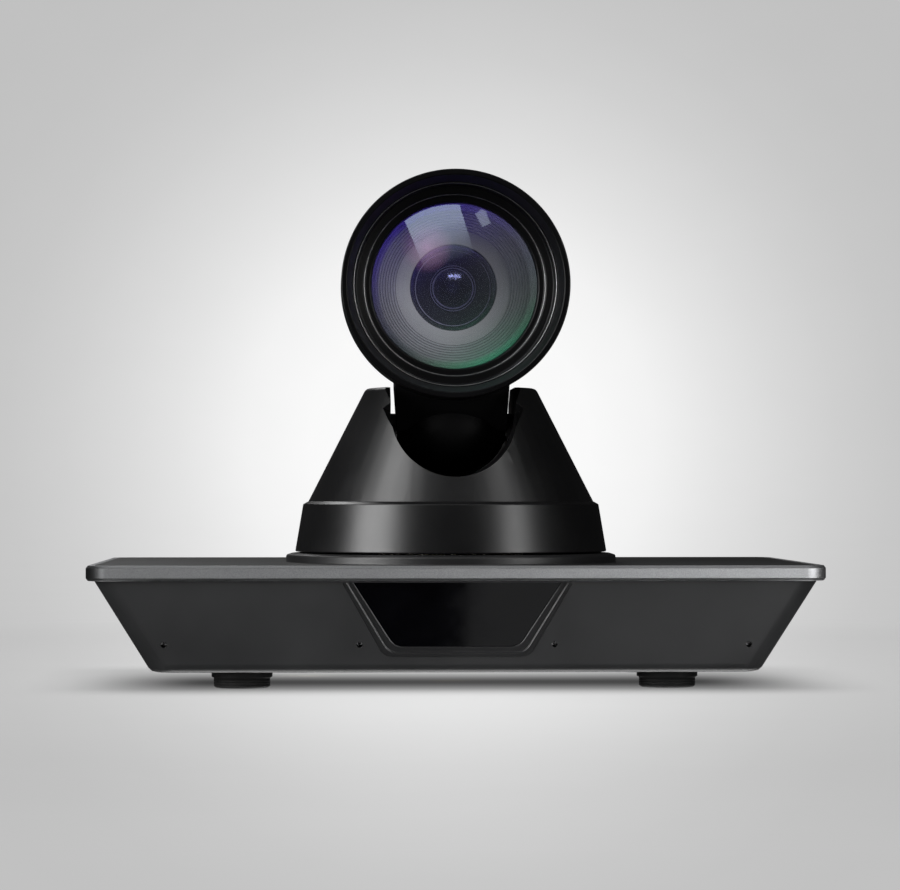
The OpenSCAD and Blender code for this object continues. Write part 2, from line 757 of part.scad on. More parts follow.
function barrel_outline(r, back, nose) = concat(
    [[0, nose], [r + 0.2, nose], [r, 0]],
    [for (a = [0:15:75]) [r - 9 + 9 * cos(a), -10 - (back - 10) * sin(a)]],
    [[r - 9, -back], [0, -back]]);

module head_shell() {
    nose = 16;
    color("#17181a") difference() {
        union() {
            at_lens() rotate_extrude($fn = 144) polygon(barrel_outline(barrel_r, 30, nose));
            neck_solid();
        }
        at_lens() rotate_extrude($fn = 96)
            polygon(barrel_outline(barrel_r - shell - 0.9, 27.8, nose + 1));
        at_lens() translate([0, 0, -32]) cylinder(r = 22, h = 10);
        at_tilt() translate([-13.5, -6, -4]) cube([27, 12, 40]);
        at_tilt() along_tilt(-30, 30, tilt_shaft_r);
    }
}

module hood() {
    color("#17181a") at_lens() rotate_extrude($fn = 144) polygon([
        [tube_r + 0.1, 12], [barrel_r - shell - 0.9, 12], [barrel_r - shell - 0.9, 16],
        [barrel_r + 0.1, 16], [hood_r - 0.3, 20], [hood_r, 20.6], [hood_r, hood_front - 0.9],
        [hood_r - 0.3, hood_front - 0.3], [hood_r - 0.8, hood_front], [hood_r - 1.7, hood_front],
        [hood_r - 2.1, hood_front - 0.5], [hood_r - 3.9, hood_front - 5.6],
        [hood_r - 4.5, hood_front - 6], [hood_r - 4.9, hood_front - 9.2],
        [hood_r - 7.4, hood_front - 9.8], [hood_r - 7.9, hood_front - 12],
        [glass_r + 0.4, hood_front - 12.3], [glass_r, hood_front - 12.8],
        [glass_r, glass_front], [tube_r + 0.1, glass_front]]);
}

module rear_cap() {
    color("#1f2023") at_lens() difference() {
        union() {
            translate([0, 0, -30]) cylinder(r = 21.9, h = 3);
            translate([0, 0, -32]) cylinder(r1 = 23, r2 = 24.8, h = 2);
        }
        for (i = [-4:4]) translate([i * 4 - 0.8, -11, -33]) cube([1.6, 22, 8]);
    }
}

module lens_tube() {
    color("#101113") at_lens() difference() {
        ring(tube_r, tube_bore, tube_back, glass_front - 2);
        translate([-4, -tube_r - 1, -8]) cube([8, 6, 16]);
    }
}

// A round element with a rim and two spherical faces, its front to +z
module element(r, rim0, rim1, front_bulge, back_hollow) {
    rise = function (x, b) b * (1 - pow(x / r, 2));
    rotate_extrude($fn = 96) polygon(concat(
        [for (i = [0:8]) [r * i / 8, rim0 + rise(r * i / 8, back_hollow)]],
        [for (i = [8:-1:0]) [r * i / 8, rim1 + rise(r * i / 8, front_bulge)]]));
}

module front_lens() {
    color([0.35, 0.3, 0.6, 0.45]) at_lens() {
        ring(tube_r - 0.1, glass_r - 0.3, glass_front - 2, glass_front);
        element(glass_r - 0.2, glass_front - 2, glass_front, 3.2, 1.2);
    }
}

module retainer_ring() {
    steps = 7;
    r0 = 25.4;
    r1 = 19.3;
    f0 = glass_front - 2.3;
    drop = 5.4;
    color("#2b2c33") at_lens() rotate_extrude($fn = 120) polygon(concat(
        [[tube_bore, f0], [tube_bore, f0 - drop - 1.2], [r1, f0 - drop - 1.2]],
        [for (i = [steps:-1:1]) let(r = r1 + (r0 - r1) * (steps - i) / steps)
            each [[r, f0 - drop * i / steps], [r + 0.55, f0 - drop * i / steps]]],
        [[r0, f0]]));
}

module baffle_ring() {
    color("#8b8d98") at_lens() ring(tube_bore, 14.5, 21.4, 22.9);
}

module second_lens() {
    color([0.15, 0.12, 0.3, 0.7]) at_lens() {
        ring(16.5, 14.2, 18.6, 21.3);
        element(14.3, 18.6, 21.3, 3, 0);
    }
}

module iris_housing() {
    color("#1a1b1d") at_lens() difference() {
        union() {
            ring(tube_bore, 11, iris_f - 0.6, iris_f);
            ring(tube_bore, 24.4, iris_f - 0.6, iris_f + 3);
        }
        for (s = [-1, 1]) translate([s * rod_at, 0, iris_f - 2])
            cylinder(r = rod_r, h = 10);
        for (s = [-1, 1]) translate([0, s * screw_at, iris_f - 2])
            cylinder(r = screw_r + run_gap, h = 10);
    }
}

// A thin blade with a notch, the notch opening towards -y
module iris_blade(layer) {
    translate([0, 0, iris_f + 0.4 + layer]) linear_extrude(0.4) difference() {
        translate([-9, -4]) square([18, 20]);
        polygon([[-6, -5], [0, 5], [6, -5]]);
    }
}

module iris_blade_upper() { color("#0c0c0e") at_lens() iris_blade(0); }
module iris_blade_lower() { color("#0c0c0e") at_lens() rotate([0, 0, 180]) iris_blade(0.8); }

module guide_rods() {
    color("#c7c9cc") at_lens() for (s = [-1, 1])
        translate([s * rod_at, 0, bulkhead_f]) cylinder(r = rod_r, h = iris_f + 1 - bulkhead_f);
}

// A lens carriage that slides on the guide rods; nut_side is where its lead screw runs
module carriage(f, glass, nut_side) {
    color("#232428") difference() {
        ring(24.4, glass, f, f + 3);
        for (s = [-1, 1]) translate([s * rod_at, 0, f - 1]) cylinder(r = rod_r + run_gap, h = 6);
        translate([0, nut_side * screw_at, f - 1]) cylinder(r = screw_r + run_gap, h = 6);
        translate([0, -nut_side * screw_at, f - 1]) cylinder(r = 2.4, h = 6);
    }
    color([0.2, 0.2, 0.35, 0.7]) translate([0, 0, f])
        element(glass, 0.6, 2.4, 0.5, 0);
}

module zoom_group() { at_lens() carriage(zoom_f, 10, 1); }
module focus_group() { at_lens() carriage(focus_f, 8, -1); }

module lead_screw(side) {
    color("#c7c9cc") at_lens() translate([0, side * screw_at, bulkhead_f - 2])
        cylinder(r = screw_r, h = iris_f - 0.1 - bulkhead_f + 2);
}
module zoom_screw() { lead_screw(1); }
module focus_screw() { lead_screw(-1); }

module lens_motors() {
    color("#a9acb0") at_lens() for (s = [-1, 1]) translate([0, s * screw_at, 0]) {
        ring(4.6, screw_r + run_gap, bulkhead_f - 3, bulkhead_f);
        translate([0, 0, bulkhead_f - 6]) cylinder(r = 4.6, h = 3.1);
    }
}

module rear_bulkhead() {
    color("#8e9194") at_lens() difference() {
        translate([0, 0, bulkhead_f]) cylinder(r = tube_bore, h = 1.5);
        translate([-7, -6, bulkhead_f - 1]) cube([14, 12, 4]);
        for (s = [-1, 1]) translate([0, s * screw_at, bulkhead_f - 1])
            cylinder(r = screw_r + run_gap, h = 4);
        for (s = [-1, 1]) translate([s * rod_at, 0, bulkhead_f - 1]) cylinder(r = rod_r, h = 4);
    }
}

module sensor_board() {
    color("#1d5b34") at_lens() translate([-16, -13, bulkhead_f - 1.6]) cube([32, 26, 1.6]);
    color("#223044") at_lens() translate([-5.5, -4.5, bulkhead_f - 0.1]) cube([11, 9, 1.6]);
    color("#202124") at_lens() translate([-9, -8, bulkhead_f - 3]) cube([18, 16, 1.5]);
}

module tilt_shafts() {
    color("#c7c9cc") at_tilt() for (s = [-1, 1]) mirror([s < 0 ? 1 : 0, 0, 0])
        along_tilt(11.5, tilt_gear_x + tilt_gear_t, tilt_shaft_r);
}

module tilt_gear() {
    color("#d8d4c4") at_tilt() translate([tilt_gear_x, 0, 0]) rotate([90, 0, 90])
        linear_extrude(tilt_gear_t) difference() {
            union() {
                intersection() {
                    rotate([0, 0, -90]) gear_outline(tilt_teeth);
                    polygon([[0, 3], [16, -8], [12, -18], [-12, -18], [-16, -8]]);
                }
                circle(5);
            }
            circle(tilt_shaft_r);
        }
}

base_tray();
top_plate();
trim_band();
window_bezel();
ir_window();
rear_panel();
main_board();
heat_sink();
rubber_feet();
mic_capsules();
ir_receiver();
dc_jack();
hdmi_port();
usb_port();
lan_port();
sdi_port();
serial_ports();
audio_port();
switch_housing();
power_rocker();
address_switch();
address_dial();
tripod_insert();
pan_shaft();
pan_bearing();
pan_ring_gear();
case_screws();
board_screws();
drum_shell();
yoke_shell();
pan_chassis();
pan_motor();
pan_pinion();
tilt_motor();
tilt_pinion();
tilt_bushes();
motor_board();
yoke_screws();
head_shell();
hood();
rear_cap();
lens_tube();
front_lens();
retainer_ring();
baffle_ring();
second_lens();
iris_housing();
iris_blade_upper();
iris_blade_lower();
guide_rods();
zoom_group();
focus_group();
zoom_screw();
focus_screw();
lens_motors();
rear_bulkhead();
sensor_board();
tilt_shafts();
tilt_gear();
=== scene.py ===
"""Looks of a pan-tilt-zoom conference camera: a boat-shaped base, a turning drum and yoke,
and a tilting head with a zoom lens.  Outlines are in millimetres and meshes in metres, +Z up,
the front faces -Y.  Every size comes from the frame's boxes or is given here."""

import json
import math

import bmesh
import bpy
from mathutils import Matrix, Vector


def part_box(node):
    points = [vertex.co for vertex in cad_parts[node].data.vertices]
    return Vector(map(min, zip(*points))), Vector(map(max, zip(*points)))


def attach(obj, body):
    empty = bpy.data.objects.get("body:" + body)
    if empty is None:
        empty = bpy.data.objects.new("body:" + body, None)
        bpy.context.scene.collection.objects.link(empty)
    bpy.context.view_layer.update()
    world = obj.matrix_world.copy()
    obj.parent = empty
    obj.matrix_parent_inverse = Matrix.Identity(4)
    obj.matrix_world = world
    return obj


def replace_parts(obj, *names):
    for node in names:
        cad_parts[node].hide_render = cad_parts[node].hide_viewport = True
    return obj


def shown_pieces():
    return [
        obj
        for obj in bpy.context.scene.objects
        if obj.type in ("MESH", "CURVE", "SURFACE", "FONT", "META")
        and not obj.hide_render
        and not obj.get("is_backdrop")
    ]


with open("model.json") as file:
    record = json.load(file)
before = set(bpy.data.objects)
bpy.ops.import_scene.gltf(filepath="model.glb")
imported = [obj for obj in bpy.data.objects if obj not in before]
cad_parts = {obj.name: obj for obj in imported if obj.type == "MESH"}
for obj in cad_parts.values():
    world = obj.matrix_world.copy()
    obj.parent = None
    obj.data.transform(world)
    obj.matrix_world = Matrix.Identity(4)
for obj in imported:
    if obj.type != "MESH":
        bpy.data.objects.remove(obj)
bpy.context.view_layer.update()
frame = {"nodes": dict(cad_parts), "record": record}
NODES = frame["nodes"]
BODY_OF = {n: b for b, names in frame["record"]["behaviour"]["bodies"].items() for n in names}

MM = 0.001
SPIN_STEPS = 192
ON_AXIS = 1e-6
# A corner that bends less than this stays as it is, and a round one takes this share of an edge
NEARLY_STRAIGHT = math.radians(12)
EDGE_SHARE = 0.42
# Points of the CAD mesh nearer than WELD join, faces thinner than SLIVER go, in metres, and
# faces that bend less than FLAT_ENOUGH become one
WELD, SLIVER = 2e-6, 1e-6
FLAT_ENOUGH = math.radians(1.2)


def box_mm(node):
    """Lowest and highest corners of a CAD node, in millimetres."""
    low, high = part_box(node)
    return low / MM, high / MM


TRIM_LOW, TRIM_HIGH = box_mm("trim_band")
DRUM_LOW, DRUM_HIGH = box_mm("drum_shell")
HOOD_LOW, HOOD_HIGH = box_mm("hood")

PAN_Y = (DRUM_LOW.y + DRUM_HIGH.y) / 2
LENS_Z = (HOOD_LOW.z + HOOD_HIGH.z) / 2
HOOD_R = (HOOD_HIGH.x - HOOD_LOW.x) / 2
HOOD_FRONT = PAN_Y - HOOD_LOW.y
BARREL_R = 34
GLASS_R = 27.6
GLASS_FRONT = HOOD_FRONT - 14
TUBE_R = 29
TUBE_BORE = 26.2
RETAINER_OUTER, RETAINER_INNER, RETAINER_STEPS = 25.4, 19.3, 7
BAFFLE_HOLE = 14.5
LENS_CENTRE = (0, PAN_Y, LENS_Z)
VIEWPOINT = Vector((-0.043, TRIM_LOW.y * MM - 1.092, 0.064))
VIEW_YAW, VIEW_PITCH = math.radians(2.12), math.radians(0.8)


# ---- Mesh helpers ----

def new_piece(name, mesh, material=None):
    """A new object at the origin, with its place in its mesh."""
    made = bpy.data.objects.new(name, mesh)
    bpy.context.scene.collection.objects.link(made)
    if material:
        mesh.materials.clear()
        mesh.materials.append(material)
    return made


def smooth(mesh, sharp_angle=38):
    """Smooth shading, broken at edges sharper than the angle."""
    mesh.shade_smooth()
    mesh.set_sharp_from_angle(angle=math.radians(sharp_angle))


def even_normals(obj):
    """Keeps broad faces flat beside narrow rounded edges."""
    weights = obj.modifiers.new("even_normals", "WEIGHTED_NORMAL")
    weights.keep_sharp = True
    weights.weight = 60


def softened(outline, radius, steps=4):
    """A closed outline with its corners rounded, apart from corners on the axis."""
    made = []
    count = len(outline)
    for i, corner in enumerate(outline):
        here = Vector(corner[:2])
        before = Vector(outline[i - 1][:2]) - here
        after = Vector(outline[(i + 1) % count][:2]) - here
        bend = math.pi - before.angle(after)
        if here.x < ON_AXIS or bend < NEARLY_STRAIGHT:
            made.append(here)
            continue
        reach = min(radius * math.tan(bend / 2), EDGE_SHARE * before.length,
                    EDGE_SHARE * after.length)
        start = here + before.normalized() * reach
        end = here + after.normalized() * reach
        for step in range(steps + 1):
            t = step / steps
            made.append(start * (1 - t) ** 2 + here * 2 * t * (1 - t) + end * t ** 2)
    return made


def spin(name, outline, centre, forward=False, steps=SPIN_STEPS):
    """A closed outline of (radius, height) turned about the vertical, or if it faces forward,
    about the lens axis."""
    bm = bmesh.new()
    rings = []
    for radius, height in outline:
        if radius < ON_AXIS:
            turns = [0.0]
        else:
            turns = [2 * math.pi * k / steps for k in range(steps)]
        ring = []
        for turn in turns:
            side, up = radius * math.cos(turn), radius * math.sin(turn)
            local = (side, -height, up) if forward else (side, up, height)
            ring.append(bm.verts.new((Vector(centre) + Vector(local)) * MM))
        rings.append(ring)
    for i, ring in enumerate(rings):
        follow = rings[(i + 1) % len(rings)]
        if len(ring) == 1 and len(follow) == 1:
            continue
        for k in range(steps):
            corners = [ring[k % len(ring)], ring[(k + 1) % len(ring)],
                       follow[(k + 1) % len(follow)], follow[k % len(follow)]]
            bm.faces.new(list(dict.fromkeys(corners)))
    return finished(name, bm)


def finished(name, bm):
    """A mesh from a closed bmesh, with its faces pointing outwards."""
    bmesh.ops.recalc_face_normals(bm, faces=bm.faces)
    mesh = bpy.data.meshes.new(name)
    bm.to_mesh(mesh)
    bm.free()
    smooth(mesh)
    return mesh


def swept_band(name, section, half_x, half_y, steps=16):
    """A section of (outward, height) carried round a rectangle whose corners turn about one point."""
    bm = bmesh.new()
    stations = []
    for quarter, (sx, sy) in enumerate([(1, 1), (-1, 1), (-1, -1), (1, -1)]):
        for step in range(steps + 1):
            turn = math.radians(90 * (quarter + step / steps))
            out = Vector((math.cos(turn), math.sin(turn), 0))
            corner = Vector((sx * half_x, sy * half_y, 0))
            stations.append([bm.verts.new((corner + out * r + Vector((0, 0, z))) * MM)
                             for r, z in section])
    for i, ring in enumerate(stations):
        follow = stations[(i + 1) % len(stations)]
        for k in range(len(section)):
            n = (k + 1) % len(section)
            bm.faces.new((ring[k], follow[k], follow[n], ring[n]))
    return finished(name, bm)


def merged_copy(node):
    """The CAD mesh with its loose triangles joined into faces."""
    bm = bmesh.new()
    bm.from_mesh(NODES[node].data)
    bmesh.ops.remove_doubles(bm, verts=bm.verts, dist=WELD)
    bmesh.ops.dissolve_degenerate(bm, edges=bm.edges, dist=SLIVER)
    bmesh.ops.dissolve_limit(bm, angle_limit=FLAT_ENOUGH, verts=bm.verts, edges=bm.edges)
    return bm


def refined(node, edge, sharp_angle=32, steps=2):
    """A copy of a CAD node with rounded edges, `edge` millimetres wide."""
    bm = merged_copy(node)
    mesh = bpy.data.meshes.new(node + "_skin")
    bm.to_mesh(mesh)
    bm.free()
    mesh.materials.clear()
    smooth(mesh, sharp_angle)
    made = new_piece(node + "_skin", mesh)
    bevel = made.modifiers.new("rounded_edges", "BEVEL")
    bevel.width = edge * MM
    bevel.segments = steps
    bevel.limit_method = "ANGLE"
    bevel.angle_limit = math.radians(sharp_angle)
    bevel.use_clamp_overlap = True
    bevel.harden_normals = False
    even_normals(made)
    return made


def on_body_of(obj, node):
    """The piece rides on a CAD node's body."""
    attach(obj, BODY_OF[node])
    return obj


def in_place_of(obj, node, material):
    """The piece stands for a CAD node, in the material if one is given."""
    if material is not None:
        obj.data.materials.clear()
        obj.data.materials.append(material)
    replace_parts(on_body_of(obj, node), node)
    return obj


# ---- Materials ----

# A Mix node's colour sockets, whose names its other sockets share
FIRST_COLOUR, SECOND_COLOUR, MIXED_COLOUR = 6, 7, 2


def feed(tree, socket, value):
    """Gives a socket a value or another node's output."""
    if isinstance(value, bpy.types.NodeSocket):
        tree.links.new(value, socket)
    else:
        socket.default_value = value


def put(tree, kind, settings=None, **sockets):
    """A shader node with its settings; each socket takes a value or another node's output."""
    made = tree.nodes.new("ShaderNode" + kind)
    for key, value in (settings or {}).items():
        setattr(made, key, value)
    for key, value in sockets.items():
        feed(tree, made.inputs[key.replace("_", " ")], value)
    return made


def vector_math(tree, operation, *values):
    """The result of an operation on vectors."""
    made = put(tree, "VectorMath", {"operation": operation})
    for socket, value in zip(made.inputs, values):
        feed(tree, socket, value)
    return made.outputs["Value" if operation in ("DOT_PRODUCT", "LENGTH") else "Vector"]


def number_math(tree, operation, *values, clamp=False):
    """The result of an operation on numbers."""
    made = put(tree, "Math", {"operation": operation, "use_clamp": clamp})
    for socket, value in zip(made.inputs, values):
        feed(tree, socket, value)
    return made.outputs["Value"]


def mapped(tree, value, low=0.0, high=1.0, to_low=0.0, to_high=1.0, settings=None):
    """A value carried from one range to another."""
    return put(tree, "MapRange", settings, Value=value, From_Min=low, From_Max=high,
               To_Min=to_low, To_Max=to_high).outputs["Result"]


def colour_mix(tree, share, first, second, blend="MIX"):
    """A blend of two colours."""
    made = put(tree, "Mix", {"data_type": "RGBA", "blend_type": blend}, Factor=share)
    feed(tree, made.inputs[FIRST_COLOUR], first)
    feed(tree, made.inputs[SECOND_COLOUR], second)
    return made.outputs[MIXED_COLOUR]


def shader_mix(tree, share, first, second):
    """A blend of two shaders, with none of the second where the share is 0."""
    made = put(tree, "MixShader", Fac=share)
    tree.links.new(first, made.inputs[1])
    tree.links.new(second, made.inputs[2])
    return made.outputs["Shader"]


def bumped(tree, height, depth, strength=1.0):
    """A normal for relief about `depth` millimetres high."""
    return put(tree, "Bump", Strength=strength, Distance=depth * MM,
               Height=height).outputs["Normal"]


def empty_tree(name):
    """A new material and its node tree, with nothing in it."""
    made = bpy.data.materials.new(name)
    made.use_nodes = True
    made.node_tree.nodes.clear()
    return made, made.node_tree


def output(tree, surface):
    """Ends a tree with its surface."""
    end = tree.nodes.new("ShaderNodeOutputMaterial")
    tree.links.new(surface, end.inputs["Surface"])


def surfaced(made, tree, **sockets):
    """The material, with a principled shader for its surface."""
    output(tree, put(tree, "BsdfPrincipled", **sockets).outputs["BSDF"])
    return made


def here(tree):
    """The place of a point on its object, in metres."""
    return put(tree, "TexCoord").outputs["Object"]


def noise(tree, place, size, detail=2.0, rough=0.55):
    """Noise whose features are about `size` millimetres across."""
    return put(tree, "TexNoise", Vector=place, Scale=1 / (size * MM), Detail=detail,
               Roughness=rough).outputs["Fac"]


# Noise seldom goes below or above these values
NOISE_LEAST, NOISE_MOST = 0.3, 0.7


def spread(tree, fac, low, high):
    """A value from low to high as the noise goes from its usual least to its usual most."""
    return mapped(tree, fac, NOISE_LEAST, NOISE_MOST, low, high)


def tones(tree, fac, colour, change):
    """The colour, lighter and darker by `change` of itself."""
    return ramp_of(tree, fac, [(NOISE_LEAST, [c * (1 - change) for c in colour]),
                               (NOISE_MOST, [min(1, c * (1 + change)) for c in colour])])


def ramp_of(tree, fac, stops):
    """A colour ramp through (position, colour) stops."""
    ramp = put(tree, "ValToRGB", Fac=fac)
    while len(ramp.color_ramp.elements) < len(stops):
        ramp.color_ramp.elements.new(0.5)
    for element, (position, colour) in zip(ramp.color_ramp.elements, stops):
        element.position = position
        element.color = (*colour, 1)
    return ramp.outputs["Color"]


def greys(stops):
    """Ramp stops for (position, value) pairs."""
    return [(position, (value,) * 3) for position, value in stops]


def moulded(name, colour, rough, grain=0.4, depth=0.01, change=0.15, specular=0.5):
    """Moulded plastic or rubber: a fine spark texture, with faint clouds of tone and gloss."""
    made, tree = empty_tree(name)
    place = here(tree)
    spark = noise(tree, place, grain, 3)
    cloud = noise(tree, place, 22)
    mixed = put(tree, "Mix", {"data_type": "FLOAT"}, Factor=0.4, A=spark, B=cloud)
    return surfaced(made, tree, Base_Color=tones(tree, cloud, colour, change),
                    Roughness=spread(tree, mixed.outputs[0], rough - 0.05, rough + 0.05),
                    Specular_IOR_Level=specular, Normal=bumped(tree, spark, depth))


def blasted(name, colour, rough=0.42, grain=0.28, depth=0.012, change=0.1):
    """Bead-blasted and anodised metal, with a fine sparkle."""
    made, tree = empty_tree(name)
    beads = noise(tree, here(tree), grain, 3, 0.7)
    return surfaced(made, tree, Base_Color=tones(tree, beads, colour, change), Metallic=1.0,
                    Roughness=spread(tree, beads, rough - 0.07, rough + 0.07),
                    Normal=bumped(tree, beads, depth))


def turned(name, colour, rough=0.28, along=(0, 1, 0), change=0.12):
    """Machined metal, with fine tool lines drawn out across one direction."""
    made, tree = empty_tree(name)
    stretch = [0.08 + 0.92 * a for a in along]
    place = put(tree, "Mapping", Vector=here(tree), Scale=stretch).outputs["Vector"]
    lines = noise(tree, place, 0.12, 2)
    cloud = noise(tree, here(tree), 5)
    return surfaced(made, tree, Base_Color=tones(tree, cloud, colour, change), Metallic=1.0,
                    Roughness=spread(tree, lines, rough - 0.08, rough + 0.1),
                    Normal=bumped(tree, lines, 0.004, 0.6))


def polished(name, colour, rough=0.06, change=0.3):
    """Polished dark plastic, with faint hazing."""
    made, tree = empty_tree(name)
    haze = noise(tree, here(tree), 9, 4)
    return surfaced(made, tree, Base_Color=tones(tree, haze, colour, change),
                    Roughness=spread(tree, haze, rough - 0.02, rough + 0.03),
                    Specular_IOR_Level=0.5)


PAD_METAL = (0.42, 0.38, 0.28, 1)


def solder_mask(name, colour):
    """A circuit board: copper tracks in steps and round pads, under a coloured mask."""
    made, tree = empty_tree(name)
    place = here(tree)
    cells = put(tree, "TexBrick", Vector=place, Scale=260.0, Mortar_Size=0.012, Bias=0.0,
                Brick_Width=0.9, Row_Height=0.22).outputs["Fac"]
    pads = put(tree, "TexVoronoi", {"feature": "F1"}, Vector=place, Scale=420.0)
    dots = mapped(tree, pads.outputs["Distance"], 0.16, 0.22, 1.0, 0.0)
    track = colour_mix(tree, cells, (*colour, 1), (*[c * 1.7 for c in colour], 1))
    return surfaced(made, tree, Base_Color=colour_mix(tree, dots, track, PAD_METAL),
                    Roughness=spread(tree, noise(tree, place, 4), 0.3, 0.42),
                    Normal=bumped(tree, cells, 0.03, 0.5))


def lens_place(tree):
    """Place across the lens, in millimetres from its axis: (x, 0, z)."""
    from_axis = vector_math(tree, "SUBTRACT", here(tree), (0, 0, LENS_Z * MM))
    return vector_math(tree, "MULTIPLY", from_axis, (1 / MM, 0, 1 / MM))


def across(tree, place, direction, reach):
    """0 to 1 along a direction over the lens, reach in millimetres each way."""
    return mapped(tree, vector_math(tree, "DOT_PRODUCT", place, direction), -reach, reach)


def radius_of(tree, place, reach):
    """0 in the middle to 1 at `reach` millimetres from it."""
    return mapped(tree, vector_math(tree, "LENGTH", place), 0.0, reach)


# Painted reflection tints of the coating, from the upper left to the lower right of the glass, along
# the direction set below
REFLECTION_TINTS = [(0.0, (0.10, 0.06, 0.62)), (0.22, (0.16, 0.13, 0.48)), (0.45, (0.20, 0.20, 0.30)),
           (0.78, (0.20, 0.25, 0.24)), (0.9, (0.15, 0.32, 0.23)), (1.0, (0.10, 0.42, 0.26))]
REFLECTION_TINT_SIDE = (0.5, 0, -0.87)
# A painted pink flare on the glass: its place and reach in millimetres, and its colour
FLARE_PLACE = (-9.5, 0, 13)
FLARE_REACH = 9.0
FLARE_PINK = (0.95, 0.45, 0.85, 1)
GLOSS_TINT = (0.82, 0.9, 1.0, 1.0)


def coated_glass(name, veil, tint, mirror, rough=0.02, reach=GLASS_R, flare=0.0):
    """Clear glass under a painted reflection tint for its anti-reflection coating, violet on one side
    and green on the other. veil lists how much the painted tint covers from the axis to the rim,
    mirror is what it reflects face on, which doubles towards a glancing angle, and flare is the
    strength of a painted pink flare."""
    made, tree = empty_tree(name)
    place = lens_place(tree)
    clear = put(tree, "BsdfTransparent", Color=tint)
    # The painted tint: diffuse colour across the glass that stands for the coating's coloured
    # reflections
    painted_tint = put(tree, "BsdfDiffuse",
               Color=ramp_of(tree, across(tree, place, REFLECTION_TINT_SIDE, reach), REFLECTION_TINTS))
    veiled = shader_mix(tree, ramp_of(tree, radius_of(tree, place, reach), greys(veil)),
                        clear.outputs[0], painted_tint.outputs[0])
    # Painted flare: a pink diffuse patch round FLARE_PLACE
    from_flare = vector_math(tree, "SUBTRACT", place, FLARE_PLACE)
    bloom = ramp_of(tree, radius_of(tree, from_flare, FLARE_REACH),
                    greys([(0.0, flare), (0.3, flare * 0.6), (1.0, 0.0)]))
    pink = put(tree, "BsdfDiffuse", Color=FLARE_PINK)
    bloomed = shader_mix(tree, bloom, veiled, pink.outputs[0])
    facing = put(tree, "LayerWeight", Blend=0.12).outputs["Facing"]
    share = mapped(tree, facing, to_low=mirror, to_high=min(1.0, mirror * 2))
    inside = put(tree, "NewGeometry").outputs["Backfacing"]
    outside_share = number_math(tree, "SUBTRACT", share, inside, clamp=True)
    gloss = put(tree, "BsdfGlossy", Color=GLOSS_TINT, Roughness=rough)
    output(tree, shader_mix(tree, outside_share, bloomed, gloss.outputs[0]))
    return made


def shaded(tree, place, colour, least=0.5):
    """The colour of a ring, dimmer towards the upper right, which the hood keeps in shade."""
    side = across(tree, place, (-0.72, 0, -0.70), 24)
    dim = ramp_of(tree, side, greys([(0.0, least), (0.45, least * 1.25), (0.8, 1.0), (1.0, 1.0)]))
    return colour_mix(tree, 1.0, colour, dim, "MULTIPLY")


def ring_metal(name, colour, rough, depth=0.004):
    """Anodised ring round the lens, with turning lines that follow its radius."""
    made, tree = empty_tree(name)
    place = lens_place(tree)
    lines = put(tree, "TexNoise", {"noise_dimensions": "1D"}, Scale=9.0, Detail=3.0,
                W=vector_math(tree, "LENGTH", place)).outputs["Fac"]
    return surfaced(made, tree,
                    Base_Color=shaded(tree, place, tones(tree, lines, colour, 0.18)),
                    Roughness=spread(tree, lines, rough - 0.06, rough + 0.06),
                    Normal=bumped(tree, lines, depth, 0.5))


def grooved_metal(name, light, dark, inner, pitch):
    """Satin ring metal with painted shade in its grooves, one every `pitch` millimetres."""
    made, tree = empty_tree(name)
    place = lens_place(tree)
    turns = mapped(tree, vector_math(tree, "LENGTH", place), inner, inner + pitch,
                   settings={"clamp": False})
    # The dark bands at each step are painted shade in the grooves
    colour = ramp_of(tree, number_math(tree, "FRACT", turns),
                     [(0.0, dark), (0.12, dark), (0.26, light), (0.86, light), (1.0, dark)])
    grain = noise(tree, here(tree), 0.5)
    return surfaced(made, tree, Base_Color=shaded(tree, place, colour),
                    Roughness=spread(tree, grain, 0.36, 0.48),
                    Normal=bumped(tree, grain, 0.004, 0.4))


